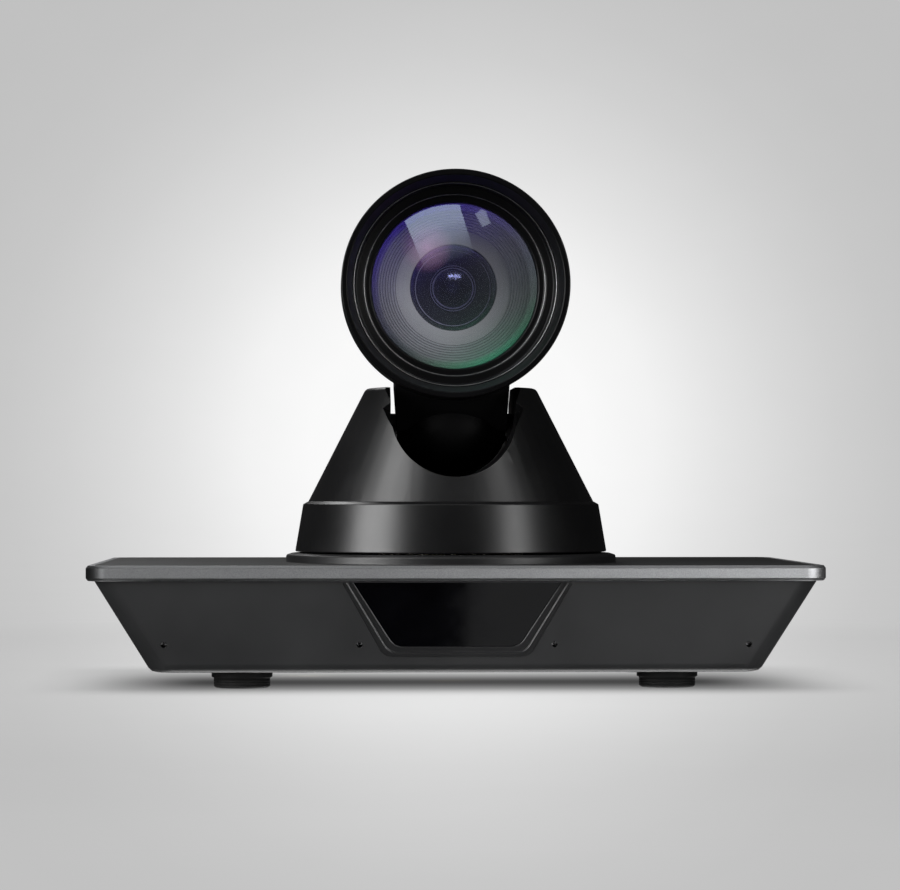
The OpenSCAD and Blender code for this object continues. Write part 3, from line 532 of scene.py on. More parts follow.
# Each finish: its name, the function that makes it and what that function is given
FINISH = {name: make(name, *values) for name, make, *values in (
    ("tray_plastic", moulded, (0.0125, 0.0127, 0.0133), 0.46, 0.5, 0.012),
    ("plate_plastic", moulded, (0.007, 0.007, 0.0075), 0.42, 0.5, 0.012),
    ("trim_metal", blasted, (0.34, 0.344, 0.352), 0.5, 0.34, 0.014, 0.22),
    ("window_smoke", polished, (0.0010, 0.0010, 0.0016), 0.05),
    ("board_green", solder_mask, (0.012, 0.10, 0.04)),
    ("cast_metal", turned, (0.42, 0.43, 0.44), 0.38),
    ("foot_rubber", moulded, (0.008, 0.008, 0.008), 0.7, 0.25, 0.02),
    ("capsule_metal", turned, (0.55, 0.55, 0.56), 0.25),
    ("sensor_dark", polished, (0.012, 0.006, 0.009), 0.12),
    ("port_black", moulded, (0.008, 0.008, 0.0085), 0.5, 0.3, 0.008),
    ("port_metal", turned, (0.36, 0.36, 0.355), 0.36, (1, 0, 0), 0.06),
    ("audio_green", moulded, (0.05, 0.30, 0.09), 0.4, 0.3, 0.006),
    ("rocker_black", moulded, (0.012, 0.012, 0.013), 0.34, 0.3, 0.006),
    ("switch_blue", moulded, (0.03, 0.06, 0.15), 0.4, 0.3, 0.006),
    ("dial_cream", moulded, (0.72, 0.66, 0.53), 0.42, 0.3, 0.006),
    ("brass", turned, (0.62, 0.45, 0.18), 0.25, (1, 1, 0)),
    ("bush_bronze", blasted, (0.46, 0.29, 0.13), 0.4),
    ("steel", turned, (0.55, 0.56, 0.57), 0.2),
    ("gear_nylon", moulded, (0.68, 0.65, 0.56), 0.45, 0.3, 0.006),
    ("screw_steel", turned, (0.30, 0.30, 0.32), 0.3),
    ("shell_black", moulded, (0.0032, 0.0032, 0.0035), 0.34, 0.42, 0.008, 0.15, 0.48),
    ("hood_black", moulded, (0.0022, 0.0022, 0.0025), 0.34, 0.42, 0.006, 0.15, 0.17),
    ("motor_can", moulded, (0.035, 0.035, 0.04), 0.35, 0.6, 0.006),
    ("lens_metal", ring_metal, (0.016, 0.016, 0.022), 0.32),
    ("baffle_grey", ring_metal, (0.60, 0.61, 0.64), 0.5),
    # The retainer's dark second colour is painted shade in its grooves
    ("retainer_grey", grooved_metal, (0.42, 0.42, 0.46), (0.03, 0.03, 0.045), RETAINER_INNER,
     (RETAINER_OUTER - RETAINER_INNER) / RETAINER_STEPS),
    # ring_line and hood_line are lighter than the cell and the hood they sit on: partly painted
    # highlight lines
    ("ring_line", ring_metal, (0.65, 0.65, 0.72), 0.3),
    ("hood_line", turned, (0.42, 0.42, 0.42), 0.35, (1, 1, 1)),
    ("bezel_black", moulded, (0.007, 0.007, 0.0075), 0.38, 0.4, 0.008),
    ("carriage_black", moulded, (0.012, 0.012, 0.013), 0.5, 0.3, 0.006),
    ("blade_black", moulded, (0.006, 0.006, 0.007), 0.45, 0.2, 0.004),
    ("neck_black", moulded, (0.0016, 0.0016, 0.0018), 0.6, 0.42, 0.006, 0.15, 0.1),
    ("chip_black", moulded, (0.012, 0.012, 0.013), 0.4, 0.2, 0.004),
    ("front_glass", coated_glass,
     [(0.0, 0.02), (0.5, 0.05), (0.7, 0.15), (0.9, 0.22), (0.93, 0.5), (1.0, 0.6)],
     (0.99, 0.99, 1.0, 1.0), 0.13, 0.02, GLASS_R, 0.2),
    ("second_glass", coated_glass, [(0.0, 0.02), (0.6, 0.05), (0.9, 0.08), (1.0, 0.3)],
     (0.74, 0.74, 0.86, 1.0), 0.0, 0.2, 14.3),
    ("inner_glass", coated_glass, [(0.0, 0.5), (0.30, 0.4), (0.36, 0.12), (0.9, 0.2), (1.0, 0.4)],
     (0.5, 0.5, 0.62, 1.0), 0.22, 0.12, 7.0),
)}


# ---- Stage, lights and camera ----

# Brightness of the backdrop's painted glow by angle from its middle, as a share of GLOW_REACH
GLOW = [(0.0, 0.97), (0.24, 0.955), (0.35, 0.895), (0.47, 0.775), (0.56, 0.70), (0.66, 0.63),
        (0.76, 0.58), (0.87, 0.55), (1.0, 0.535)]
GLOW_REACH = math.radians(9.8)
GLOW_RISE = math.radians(0.1)
FLOOR_LIGHT = 1.05
# The painted shadow under the base: axis, its middle, how far it is whole and where it ends, in
# metres
SHADE_SPAN = [("X", 0.0, 0.080, 0.132), ("Y", -0.02, 0.0, 0.085)]
SHADE_LEAST = 0.12
# The lamps alone light the paper nearer than the first, and none of it past the second, in metres
LIT_REACH, EVEN_FROM = 0.3, 0.56
GENTLE = {"interpolation_type": "SMOOTHSTEP"}
WHITE_PAPER = (0.995, 0.995, 0.995)


def looking(yaw, pitch):
    """The direction at an angle to the right of +Y and above the level."""
    return Vector((math.sin(yaw) * math.cos(pitch), math.cos(yaw) * math.cos(pitch),
                   math.sin(pitch)))


def glow(tree):
    """A painted glow: a soft round pool of light on the paper behind the piece, fading to an even
    pale grey on every side.
    """
    ray = vector_math(tree, "NORMALIZE", vector_math(tree, "SUBTRACT", here(tree), VIEWPOINT))
    middle = looking(VIEW_YAW, VIEW_PITCH + GLOW_RISE)
    angle = number_math(tree, "ARCCOSINE", vector_math(tree, "DOT_PRODUCT", ray, middle))
    return ramp_of(tree, mapped(tree, angle, 0.0, GLOW_REACH), greys(GLOW))


def contact_shade(tree):
    """A painted contact shadow: how much of the lamps' light the paper gives back, less under the
    base than in the open.
    """
    place = put(tree, "SeparateXYZ", Vector=here(tree))
    covers = []
    for axis, middle, whole, end in SHADE_SPAN:
        away = number_math(tree, "SUBTRACT", place.outputs[axis], middle)
        covers.append(mapped(tree, number_math(tree, "ABSOLUTE", away), whole, end, 1.0, 0.0,
                             GENTLE))
    return mapped(tree, number_math(tree, "MULTIPLY", *covers), to_low=1 / FLOOR_LIGHT,
                  to_high=SHADE_LEAST / FLOOR_LIGHT)


def pale_backdrop():
    """Pale paper with a painted glow: lit by the lamps near the piece, with a painted shadow under
    the base, and even in tone away from it.
    """
    made, tree = empty_tree("pale_backdrop")
    paper = tones(tree, noise(tree, here(tree), 60), WHITE_PAPER, 0.004)
    # The painted glow, over the paper's own tone
    tone = colour_mix(tree, 1.0, glow(tree), paper, "MULTIPLY")
    # The painted shadow darkens the lamp-lit paper under the base
    lit = put(tree, "VectorMath", {"operation": "SCALE"}, Vector=tone, Scale=contact_shade(tree))
    face = put(tree, "BsdfDiffuse", Color=lit.outputs[0])
    even = put(tree, "Emission", Color=tone)
    share = mapped(tree, vector_math(tree, "LENGTH", here(tree)), LIT_REACH, EVEN_FROM,
                   settings=GENTLE)
    front = shader_mix(tree, share, face.outputs[0], even.outputs[0])
    clear = put(tree, "BsdfTransparent")
    behind = put(tree, "NewGeometry").outputs["Backfacing"]
    output(tree, shader_mix(tree, behind, front, clear.outputs[0]))
    return made


FLOOR_R, FLAT_R, CURVE_R, WALL_TOP = 0.62, 1.3, 0.9, 3.2
STAGE_SIDES = 96


def stage_bowl():
    """A pale floor that curves up into a wall all the way round, in metres."""
    paper = pale_backdrop()
    curve = [(FLAT_R + CURVE_R * math.sin(math.radians(a)),
              CURVE_R - CURVE_R * math.cos(math.radians(a))) for a in range(0, 91, 5)]
    outlines = {"floor": [(0, 0), (0.2, 0), (FLOOR_R, 0)],
                "wall": [(FLOOR_R, 0), (1.0, 0)] + curve + [(FLAT_R + CURVE_R, WALL_TOP)]}
    objects = []
    for name, outline in outlines.items():
        bm = bmesh.new()
        rings = []
        for radius, height in outline:
            turns = [2 * math.pi * k / STAGE_SIDES for k in range(STAGE_SIDES if radius else 1)]
            rings.append([bm.verts.new((radius * math.cos(t), radius * math.sin(t), height))
                          for t in turns])
        for ring, follow in zip(rings, rings[1:]):
            for k in range(STAGE_SIDES):
                n = (k + 1) % STAGE_SIDES
                around = [ring[k % len(ring)], follow[k], follow[n], ring[n % len(ring)]]
                bm.faces.new(list(dict.fromkeys(around)))
        mesh = bpy.data.meshes.new(name)
        bm.to_mesh(mesh)
        bm.free()
        mesh.shade_smooth()
        made = new_piece(name, mesh, paper)
        made.visible_glossy = False
        made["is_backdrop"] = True
        objects.append(made)
    wall = objects[1]
    wall.visible_diffuse = False
    return objects


def collection(name, objects):
    """A collection of objects, for a lamp to light alone."""
    made = bpy.data.collections.new(name)
    for obj in objects:
        made.objects.link(obj)
    return made


def softbox(name, place, target, size, power, only, colour=(1, 1, 1), roll=0):
    """A rectangular lamp, size metres wide and high, that faces a point; `only` is the
    collection that it lights."""
    data = bpy.data.lights.new(name, "AREA")
    data.energy = power
    data.color = colour
    data.shape = "RECTANGLE"
    data.size, data.size_y = size
    lamp = bpy.data.objects.new(name, data)
    bpy.context.scene.collection.objects.link(lamp)
    lamp.location = place
    turn = (Vector(target) - Vector(place)).to_track_quat("-Z", "Y")
    lamp.rotation_mode = "QUATERNION"
    lamp.rotation_quaternion = turn @ Matrix.Rotation(math.radians(roll), 3, "Z").to_quaternion()
    lamp.visible_camera = False
    lamp.light_linking.receiver_collection = only
    return lamp


LAMP_DISTANCE = 1.15
DRUM_MIDDLE = Vector((0, PAN_Y * MM, 0.07))


def round_the_drum(azimuth, elevation):
    """A lamp's place at an angle to the left of the front and above the level, in degrees."""
    a, e = math.radians(azimuth), math.radians(elevation)
    return (-LAMP_DISTANCE * math.sin(a) * math.cos(e),
            PAN_Y * MM - LAMP_DISTANCE * math.cos(a) * math.cos(e),
            0.08 + LAMP_DISTANCE * math.sin(e))


def object_lamps(everything, shell, rear, rings, base_front, window):
    """Softboxes on the left, the right, above, behind and below, and some for one part alone."""
    for name, azimuth, elevation, size, power in (
            ("left_softbox", 62, 12, (0.62, 0.6), 12.5),
            ("left_high_softbox", 66, 46, (0.5, 0.6), 6.5),
            ("right_softbox", -47, 10, (0.28, 0.6), 4.6),
            ("right_high_softbox", -52, 44, (0.3, 0.5), 1.6)):
        softbox(name, round_the_drum(azimuth, elevation), DRUM_MIDDLE, size, power, shell)
    softbox("top_softbox", (0, -0.1, 1.7), (0, 0, 0), (1.4, 1.4), 6.0, everything)
    softbox("ring_lamp", round_the_drum(-30, 36), (0, -0.04, LENS_Z * MM), (0.35, 0.35), 7.5,
            rings)
    front = TRIM_LOW.y * MM
    softbox("trim_strip", (0.30, -0.75, 0.05), (0.06, front, 0.038), (0.16, 0.3), 1.1, base_front)
    softbox("trim_left", (-0.55, -1.0, 0.22), (-0.05, front, 0.038), (0.4, 0.4), 2.2, base_front)
    softbox("base_right", (0.50, -0.52, 0.10), (0.06, front, 0.02), (0.3, 0.3), 2.4, base_front)
    softbox("rear_softbox", (0.45, 1.05, 0.42), (0, 0.05, 0.04), (0.6, 0.5), 10.0, rear)
    softbox("rear_high_softbox", (-0.35, 1.0, 0.95), (0, 0, 0.09), (0.5, 0.4), 3.0, everything)
    under = softbox("under_softbox", (0.15, 0.55, -1.0), (0, 0, 0), (0.8, 0.8), 9.0, everything)
    under.light_linking.blocker_collection = everything
    sheen = softbox("window_sheen", (0.16, -1.07, -0.43), (0.02, -0.066, 0.027), (0.22, 0.5),
                    0.12, window)
    sheen.light_linking.blocker_collection = window


def stage_lamps(stage_only):
    """A broad even light over the floor, part of which reaches under the base."""
    above, size = (0, 0, 1.7), (1.7, 1.7)
    softbox("floor_wash", above, (0, 0, 0), size, 12.0, stage_only)
    fill = softbox("floor_fill", above, (0, 0, 0), size, 28.0, stage_only)
    fill.light_linking.blocker_collection = stage_only


def fading(lamp, stops):
    """Fades a softbox from its lower edge to its upper edge through (place, strength) stops."""
    lamp.data.use_nodes = True
    tree = lamp.data.node_tree
    emission = next(n for n in tree.nodes if n.type == "EMISSION")
    place = put(tree, "NewGeometry").outputs["Parametric"]
    height = put(tree, "SeparateXYZ", Vector=place).outputs["Y"]
    tree.links.new(ramp_of(tree, height, greys(stops)), emission.inputs["Strength"])


def lens_lamps(glass, inner):
    """A window-shaped softbox and two small glints, which show in the glass alone."""
    lens = (0, (PAN_Y - GLASS_FRONT) * MM, LENS_Z * MM)
    window = softbox("lens_window", (-0.13, -1.6, 0.89), lens, (0.57, 0.95), 4.2, glass,
                     (0.86, 0.95, 1.0), 20)
    fading(window, [(0.0, 0.0), (0.2, 0.2), (0.45, 0.7), (1.0, 1.0)])
    small = softbox("lens_glint", (0.36, -1.6, 0.93), lens, (0.10, 0.16), 0.06, glass,
                    (0.9, 0.94, 1.0), 25)
    deep = softbox("inner_glint", (0.10, -1.3, 0.64), lens, (0.42, 0.12), 1.6, inner,
                   (1.0, 0.98, 0.92))
    for lamp in (window, small, deep):
        lamp.visible_diffuse = False


SEEN_FROM_FRONT = {"drum_shell_skin", "yoke_shell_skin", "hood_skin", "head_shell_skin",
                   "top_plate_skin", "trim_band_skin", "front_lens_skin"}
WORLD_LIGHT = 0.01
FOCAL_LENGTH, SENSOR_WIDTH = 135.7, 36


def named(*names):
    """The pieces with these names."""
    return [bpy.data.objects[name] for name in names]


def lights(stage, glass):
    """Every lamp, each with the pieces that it lights; glass lists the elements from the front."""
    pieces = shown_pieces()
    rings = named("retainer_ring_skin", "baffle_ring_skin", "second_lens_cell", "cell_line",
                  "cell_step", "inner_line")
    shell = [p for p in pieces if p not in rings and p.name != "trim_band_skin"]
    rear = [p for p in pieces if p.name not in SEEN_FROM_FRONT]
    base_front = named("trim_band_skin", "base_tray_skin", "window_bezel_skin")
    object_lamps(collection("object_parts", pieces), collection("shell_parts", shell),
                 collection("rear_parts", rear), collection("ring_parts", rings),
                 collection("base_front_parts", base_front),
                 collection("window_parts", named("ir_window_skin")))
    stage_lamps(collection("stage_parts", stage))
    lens_lamps(collection("front_glass", glass[:1]), collection("inner_glass", glass[2:]))
    world = bpy.data.worlds.new("studio")
    bpy.context.scene.world = world
    world.use_nodes = True
    feeds = world.node_tree.nodes["Background"].inputs
    feeds["Color"].default_value = (1, 1, 1, 1)
    feeds["Strength"].default_value = WORLD_LIGHT


def camera():
    """A long lens a little above the table, looking slightly up and to the right."""
    data = bpy.data.cameras.new("camera")
    data.lens = FOCAL_LENGTH
    data.sensor_width = SENSOR_WIDTH
    data.clip_start = 0.01
    data.clip_end = 30
    made = bpy.data.objects.new("camera", data)
    bpy.context.scene.collection.objects.link(made)
    made.location = VIEWPOINT
    made.rotation_mode = "QUATERNION"
    made.rotation_quaternion = looking(VIEW_YAW, VIEW_PITCH).to_track_quat("-Z", "Y")
    bpy.context.scene.camera = made


# ---- Base ----

def trim_band():
    """A metal band round the edge of the top plate, with a ledge that the plate lies on."""
    outer, ledge, inner = 7, 4, 2
    low, high, plate = TRIM_LOW.z, TRIM_HIGH.z, TRIM_HIGH.z - 3
    section = softened([(inner, low), (outer - 0.7, low), (outer, low + 0.9), (outer, high - 0.9),
                        (outer - 0.7, high), (ledge, high), (ledge, plate), (inner, plate)],
                       0.35, 3)
    made = new_piece("trim_band_skin", swept_band("trim_band_skin", section, TRIM_HIGH.x - outer,
                                                  TRIM_HIGH.y - outer))
    even_normals(made)
    return in_place_of(made, "trim_band", FINISH["trim_metal"])


# ---- Drum ----

def drum():
    """The turning drum: a thin wall that leans in, with a rim on top and a ledge in its foot."""
    low, high, radius = DRUM_LOW.z, DRUM_HIGH.z, DRUM_HIGH.x
    rim, ledge = 44, 43
    outline = [(radius - 2.2, low), (radius, low), (radius - 2.7, high - 1), (radius - 4.5, high),
               (rim, high), (rim, high - 2), (radius - 5.1, high - 2.6), (radius - 3.9, low + 10),
               (ledge, low + 10), (ledge, low + 8), (radius - 3.2, low + 8)]
    made = new_piece("drum_shell_skin", spin("drum_shell_skin", softened(outline, 0.5),
                                             (0, PAN_Y, 0)))
    even_normals(made)
    in_place_of(made, "drum_shell", FINISH["shell_black"])


# ---- Lens and hood ----

def lens_part(name, node, outline, finish, edge=0.12, stands_in=True):
    """A ring or an element turned about the lens axis, on the same body as a CAD node."""
    made = new_piece(name, spin(name, softened(outline, edge, 3), LENS_CENTRE, True))
    even_normals(made)
    if stands_in:
        return in_place_of(made, node, FINISH[finish])
    made.data.materials.append(FINISH[finish])
    return on_body_of(made, node)


def thin_ring(name, radius, height, width, finish, node):
    """A fine raised ring that catches the light, in a finish lighter than the part it sits on: partly
    a painted highlight line.
    """
    half = width / 2
    lens_part(name, node, [(radius - half, height - half), (radius + half, height - half),
                           (radius + half, height + half), (radius - half, height + half)],
              finish, half * 0.9, stands_in=False)


def hood():
    """The hood: a rounded lip and steps that lead in to the front glass."""
    back, inner, front = 12, BARREL_R - 3.1, HOOD_FRONT
    outline = [(TUBE_R + 0.1, back), (inner, back), (inner, back + 4), (BARREL_R + 0.1, back + 4),
               (HOOD_R, back + 8.3), (HOOD_R, front), (HOOD_R - 1.9, front),
               (HOOD_R - 3.9, front - 5.6), (HOOD_R - 4.5, front - 6), (HOOD_R - 4.9, front - 9.2),
               (HOOD_R - 7.4, front - 9.8), (HOOD_R - 7.9, front - 12),
               (GLASS_R + 0.4, front - 12.3), (GLASS_R, front - 12.8), (GLASS_R, GLASS_FRONT),
               (TUBE_R + 0.1, GLASS_FRONT)]
    lens_part("hood_skin", "hood", outline, "hood_black", 0.5)
    # Two fine rings lighter than the hood: ridges that catch the lamps, and partly painted highlight
    # lines
    for name, radius, depth in (("hood_line_outer", HOOD_R - 4.2, 5.75),
                                ("hood_line_inner", HOOD_R - 7.6, 10.7)):
        thin_ring(name, radius, front - depth, 0.3, "hood_line", "hood")


def domed(radius, rim_back, rim_front, bulge, hollow, steps=14):
    """Half outline of a round element with two spherical faces."""
    share = [i / steps for i in range(steps + 1)]
    back = [(radius * s, rim_back + hollow * (1 - s * s)) for s in share]
    front = [(radius * s, rim_front + bulge * (1 - s * s)) for s in reversed(share)]
    return back + front


def lens_stack():
    """The front glass and what shows through it, as far as the inner lens."""
    front = spin("front_lens_skin", domed(GLASS_R - 0.2, GLASS_FRONT - 2, GLASS_FRONT, 3.2, 1.2),
                 LENS_CENTRE, True)
    front_lens = new_piece("front_lens_skin", front)
    in_place_of(front_lens, "front_lens", FINISH["front_glass"])

    front_face, drop = GLASS_FRONT - 2.3, 5.4
    back_face = front_face - drop - 1.2
    outline = [(TUBE_BORE, front_face), (TUBE_BORE, back_face), (RETAINER_INNER, back_face)]
    for i in range(RETAINER_STEPS, 0, -1):
        share = i / RETAINER_STEPS
        radius = RETAINER_INNER + (RETAINER_OUTER - RETAINER_INNER) * (1 - share)
        outline += [(radius, front_face - drop * share), (radius + 0.55, front_face - drop * share)]
    outline.append((RETAINER_OUTER, front_face))
    lens_part("retainer_ring_skin", "retainer_ring", outline, "retainer_grey", 0.14)

    lens_part("baffle_ring_skin", "baffle_ring",
              [(TUBE_BORE, 21.4), (TUBE_BORE, 22.9), (BAFFLE_HOLE, 22.9), (BAFFLE_HOLE, 21.4)],
              "baffle_grey", 0.15)

    second = spin("second_lens_skin", domed(14.2, 18.6, 21.3, 3, 0), LENS_CENTRE, True)
    second_lens = new_piece("second_lens_skin", second)
    in_place_of(second_lens, "second_lens", FINISH["second_glass"])
    lens_part("second_lens_cell", "second_lens",
              [(16.5, 18.6), (16.5, 21.3), (14.25, 21.3), (14.25, 18.4), (12.6, 18.4),
               (12.6, 18.1), (12.3, 18.1), (12.3, 17.9), (7.9, 17.4), (7.9, 17.7), (7.3, 17.7),
               (7.0, 17.4), (7.0, 17.9), (6.5, 17.9), (6.5, 16.5), (9, 16.5), (14.5, 17.2)],
              "lens_metal", 0.1, stands_in=False)
    # Fine light rings on the cell: partly painted highlight lines
    for name, radius, height, width in (("cell_line", 12.6, 18.55, 0.3),
                                        ("cell_step", 7.55, 17.85, 0.22),
                                        ("inner_line", 6.75, 18.0, 0.4)):
        thin_ring(name, radius, height, width, "ring_line", "second_lens")
    inner = spin("inner_lens", domed(6.45, 16.6, 17.3, 0.8, 0), LENS_CENTRE, True, 96)
    inner_lens = new_piece("inner_lens", inner, FINISH["inner_glass"])
    on_body_of(inner_lens, "second_lens")
    return [front_lens, second_lens, inner_lens]


# ---- The rest, from the CAD shapes with rounded edges ----

# The finish of each plain node and the width of its rounded edges, in millimetres
PLAIN = {
    "base_tray": ("tray_plastic", 0.25), "top_plate": ("plate_plastic", 0.3),
    "window_bezel": ("bezel_black", 0.2), "ir_window": ("window_smoke", 0.15),
    "rear_panel": ("plate_plastic", 0.15), "main_board": ("board_green", 0.1),
    "mic_capsules": ("capsule_metal", 0.2), "ir_receiver": ("sensor_dark", 0.15),
    "dc_jack": ("port_black", 0.2), "hdmi_port": ("port_metal", 0.12),
    "usb_port": ("port_metal", 0.12), "lan_port": ("port_metal", 0.15),
    "sdi_port": ("port_metal", 0.15), "serial_ports": ("port_black", 0.2),
    "audio_port": ("audio_green", 0.2), "switch_housing": ("port_black", 0.25),
    "power_rocker": ("rocker_black", 0.3), "address_switch": ("switch_blue", 0.2),
    "address_dial": ("dial_cream", 0.15), "tripod_insert": ("brass", 0.2),
    "pan_shaft": ("steel", 0.2), "pan_bearing": ("steel", 0.2),
    "pan_ring_gear": ("gear_nylon", 0.06),
    "board_screws": ("screw_steel", 0.12), "yoke_shell": ("shell_black", 0.4),
    "pan_chassis": ("cast_metal", 0.15), "pan_motor": ("motor_can", 0.3),
    "pan_pinion": ("brass", 0.06), "tilt_motor": ("motor_can", 0.3),
    "tilt_pinion": ("brass", 0.06), "tilt_bushes": ("bush_bronze", 0.1),
    "motor_board": ("board_green", 0.1), "yoke_screws": ("screw_steel", 0.12),
    "head_shell": ("shell_black", 0.4), "rear_cap": ("carriage_black", 0.3),
    "lens_tube": ("lens_metal", 0.2), "iris_housing": ("lens_metal", 0.1),
    "iris_blade_upper": ("blade_black", 0.05), "iris_blade_lower": ("blade_black", 0.05),
    "guide_rods": ("steel", 0.15), "zoom_group": ("carriage_black", 0.15),
    "focus_group": ("carriage_black", 0.15), "zoom_screw": ("steel", 0.1),
    "focus_screw": ("steel", 0.1), "lens_motors": ("capsule_metal", 0.2),
    "rear_bulkhead": ("cast_metal", 0.15), "sensor_board": ("board_green", 0.1),
    "tilt_shafts": ("steel", 0.2), "tilt_gear": ("gear_nylon", 0.06),
}
BOARDS = ("main_board", "motor_board", "sensor_board")
NECK_TOP = (LENS_Z - BARREL_R + 4) * MM


def broad_faces(mesh):
    """The axis that a board faces, and the places of its two broad faces along it."""
    area = {}
    for face in mesh.polygons:
        axis = max(range(3), key=lambda i: abs(face.normal[i]))
        if abs(face.normal[axis]) > 0.999:
            key = (axis, round(face.center[axis] / MM, 1), face.normal[axis] > 0)
            area[key] = area.get(key, 0) + face.area
    first = max(area, key=area.get)
    other = max((k for k in area if k[0] == first[0] and k[2] != first[2]), key=area.get)
    return first[0], min(first[1], other[1]), max(first[1], other[1])


def second_finish(obj, finish, chosen):
    """Gives the chosen faces of a piece another finish."""
    obj.data.materials.append(FINISH[finish])
    for face in obj.data.polygons:
        if chosen(face):
            face.material_index = 1


def plain_pieces():
    """Every node in PLAIN, with darker parts on the boards and a darker neck under the head."""
    for node, (finish, edge) in PLAIN.items():
        made = in_place_of(refined(node, edge), node, FINISH[finish])
        if node in BOARDS:
            axis, low, high = broad_faces(made.data)
            second_finish(made, "chip_black", lambda face: not
                          low - 0.1 < face.center[axis] / MM < high + 0.1)
        if node == "head_shell":
            second_finish(made, "neck_black", lambda face: face.center.z < NECK_TOP)


# ---- Repeated pieces ----

def repeat_tree():
    """Sets a unit at each point, turned by the point's own angle, and gives it a material."""
    tree = bpy.data.node_groups.new("set_at_points", "GeometryNodeTree")
    for label, kind, side in (("Points", "Geometry", "INPUT"), ("Unit", "Object", "INPUT"),
                              ("Size", "Float", "INPUT"), ("Material", "Material", "INPUT"),
                              ("Pieces", "Geometry", "OUTPUT")):
        tree.interface.new_socket(label, in_out=side, socket_type="NodeSocket" + kind)
    node = tree.nodes.new
    start, end = node("NodeGroupInput"), node("NodeGroupOutput")
    unit, place = node("GeometryNodeObjectInfo"), node("GeometryNodeInstanceOnPoints")
    turn, spin_by = node("GeometryNodeInputNamedAttribute"), node("ShaderNodeCombineXYZ")
    turn.data_type = "FLOAT"
    turn.inputs["Name"].default_value = "turn"
    real, dressed = node("GeometryNodeRealizeInstances"), node("GeometryNodeSetMaterial")
    for source, target in (
            (start.outputs["Points"], place.inputs["Points"]),
            (start.outputs["Unit"], unit.inputs["Object"]),
            (unit.outputs["Geometry"], place.inputs["Instance"]),
            (turn.outputs["Attribute"], spin_by.inputs["Z"]),
            (spin_by.outputs[0], place.inputs["Rotation"]),
            (start.outputs["Size"], place.inputs["Scale"]),
            (place.outputs[0], real.inputs[0]), (real.outputs[0], dressed.inputs["Geometry"]),
            (start.outputs["Material"], dressed.inputs["Material"]),
            (dressed.outputs[0], end.inputs[0])):
        tree.links.new(source, target)
    return tree


REPEAT = repeat_tree()
REPEAT_INPUT = {i.name: i.identifier for i in REPEAT.interface.items_tree if i.in_out == "INPUT"}


def repeated(name, unit_mesh, places, finish):
    """One mesh with the unit at every (x, y, z, turn), in millimetres and radians."""
    points = bpy.data.meshes.new(name + "_points")
    points.from_pydata([Vector(p[:3]) * MM for p in places], [], [])
    turns = points.attributes.new("turn", "FLOAT", "POINT")
    for item, place in zip(turns.data, places):
        item.value = place[3]
    holder = new_piece(name + "_points", points)
    unit = bpy.data.objects.new(name + "_unit", unit_mesh)
    nodes = holder.modifiers.new("set_at_points", "NODES")
    nodes.node_group = REPEAT
    nodes[REPEAT_INPUT["Unit"]] = unit
    nodes[REPEAT_INPUT["Size"]] = 1.0
    nodes[REPEAT_INPUT["Material"]] = FINISH[finish]
    scene_state = bpy.context.evaluated_depsgraph_get()
    mesh = bpy.data.meshes.new_from_object(holder.evaluated_get(scene_state))
    mesh.name = name
    holder.modifiers.clear()
    bpy.data.objects.remove(holder)
    bpy.data.objects.remove(unit)
    made = new_piece(name, mesh)
    even_normals(made)
    return made


def corners(node, radius):
    """Places of four round parts at the corners of a node's box, at its foot."""
    low, high = box_mm(node)
    return [(x, y, low.z, 0.0) for x in (low.x + radius, high.x - radius)
            for y in (low.y + radius, high.y - radius)]


def rubber_feet():
    """Four rubber feet, each with a hollow sole, a stepped edge and rings round its side."""
    low, high = box_mm("rubber_feet")
    tall, radius, rings, pitch = high.z - low.z, 10, 3, 0.85
    side = [(radius - 1.4, 0), (radius - 0.8, 0.5)]
    for k in range(rings):
        z = 0.9 + k * pitch
        side += [(radius - 0.72, z), (radius - 0.95, z + 0.2), (radius - 0.72, z + 0.4)]
    outline = [(0, 0.5), (5.9, 0.5), (6.6, 0)] + side + [
        (radius - 0.6, tall - 2.1), (radius, tall - 2.0), (radius, tall), (0, tall)]
    made = repeated("rubber_feet_set", spin("foot_unit", softened(outline, 0.18, 2), (0, 0, 0),
                                            steps=96),
                    corners("rubber_feet", radius), "foot_rubber")
    in_place_of(made, "rubber_feet", None)


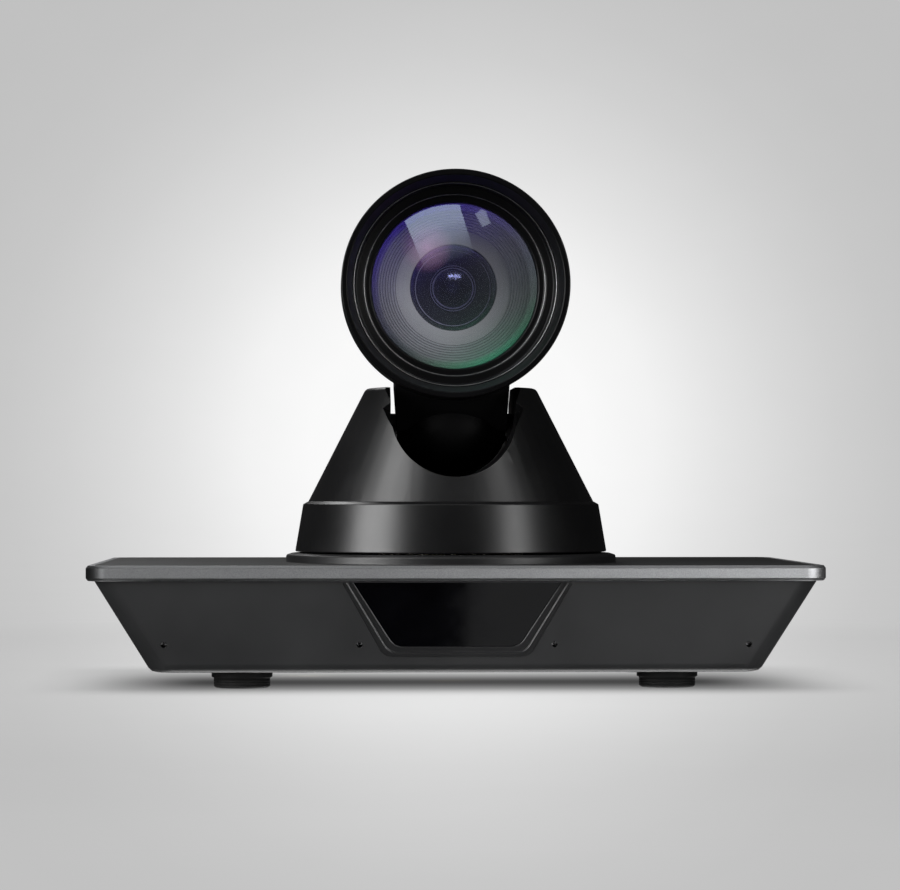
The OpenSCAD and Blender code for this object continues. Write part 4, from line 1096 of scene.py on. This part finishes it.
def cut_unit(node, place, reach):
    """A copy of the part of a CAD node near one place, brought to the origin."""
    bm = merged_copy(node)
    middle = Vector(place) * MM
    far = [v for v in bm.verts if (v.co.xy - middle.xy).length > reach * MM]
    bmesh.ops.delete(bm, geom=far, context="VERTS")
    bmesh.ops.translate(bm, verts=bm.verts, vec=-middle)
    bmesh.ops.bevel(bm, geom=[e for e in bm.edges if e.calc_face_angle(0) > math.radians(50)],
                    offset=0.1 * MM, segments=2, affect="EDGES", clamp_overlap=True)
    return finished(node + "_unit", bm)


def case_screws():
    """The four screws on the underside, all cut to the shape of the first."""
    places = corners("case_screws", 2.9)
    made = repeated("case_screw_set", cut_unit("case_screws", places[0][:3], 4), places,
                    "screw_steel")
    in_place_of(made, "case_screws", None)


def rounded_box(name, low, high, edge):
    """A box with rounded edges, in millimetres."""
    bm = bmesh.new()
    bmesh.ops.create_cube(bm, size=1.0, matrix=Matrix.Translation((low + high) / 2 * MM)
                          @ Matrix.Diagonal((*((high - low) * MM), 1)))
    bmesh.ops.bevel(bm, geom=bm.edges[:], offset=edge * MM, segments=3, affect="EDGES")
    return finished(name, bm)


def heat_sink():
    """A finned heat sink: nine rounded fins set into a base plate."""
    low, high = box_mm("heat_sink")
    fins, thick, plate, sunk = 9, 1.6, 2.5, 0.3
    step = (high.x - low.x - thick) / (fins - 1)
    fin_size = Vector((thick, high.y - low.y, high.z - low.z - plate + sunk))
    places = [(low.x + k * step, low.y, low.z + plate - sunk, 0.0) for k in range(fins)]
    fin_set = repeated("heat_sink_fins", rounded_box("fin_unit", Vector(), fin_size, 0.35),
                       places, "cast_metal")
    in_place_of(fin_set, "heat_sink", None)
    top = Vector((high.x, high.y, low.z + plate))
    base = new_piece("heat_sink_plate", rounded_box("heat_sink_plate", low, top, 0.3),
                     FINISH["cast_metal"])
    even_normals(base)
    on_body_of(base, "heat_sink")


bpy.context.scene.view_settings.view_transform = "Standard"
backdrop = stage_bowl()
camera()
trim_band()
drum()
hood()
glass = lens_stack()
plain_pieces()
rubber_feet()
case_screws()
heat_sink()
lights(backdrop, glass)
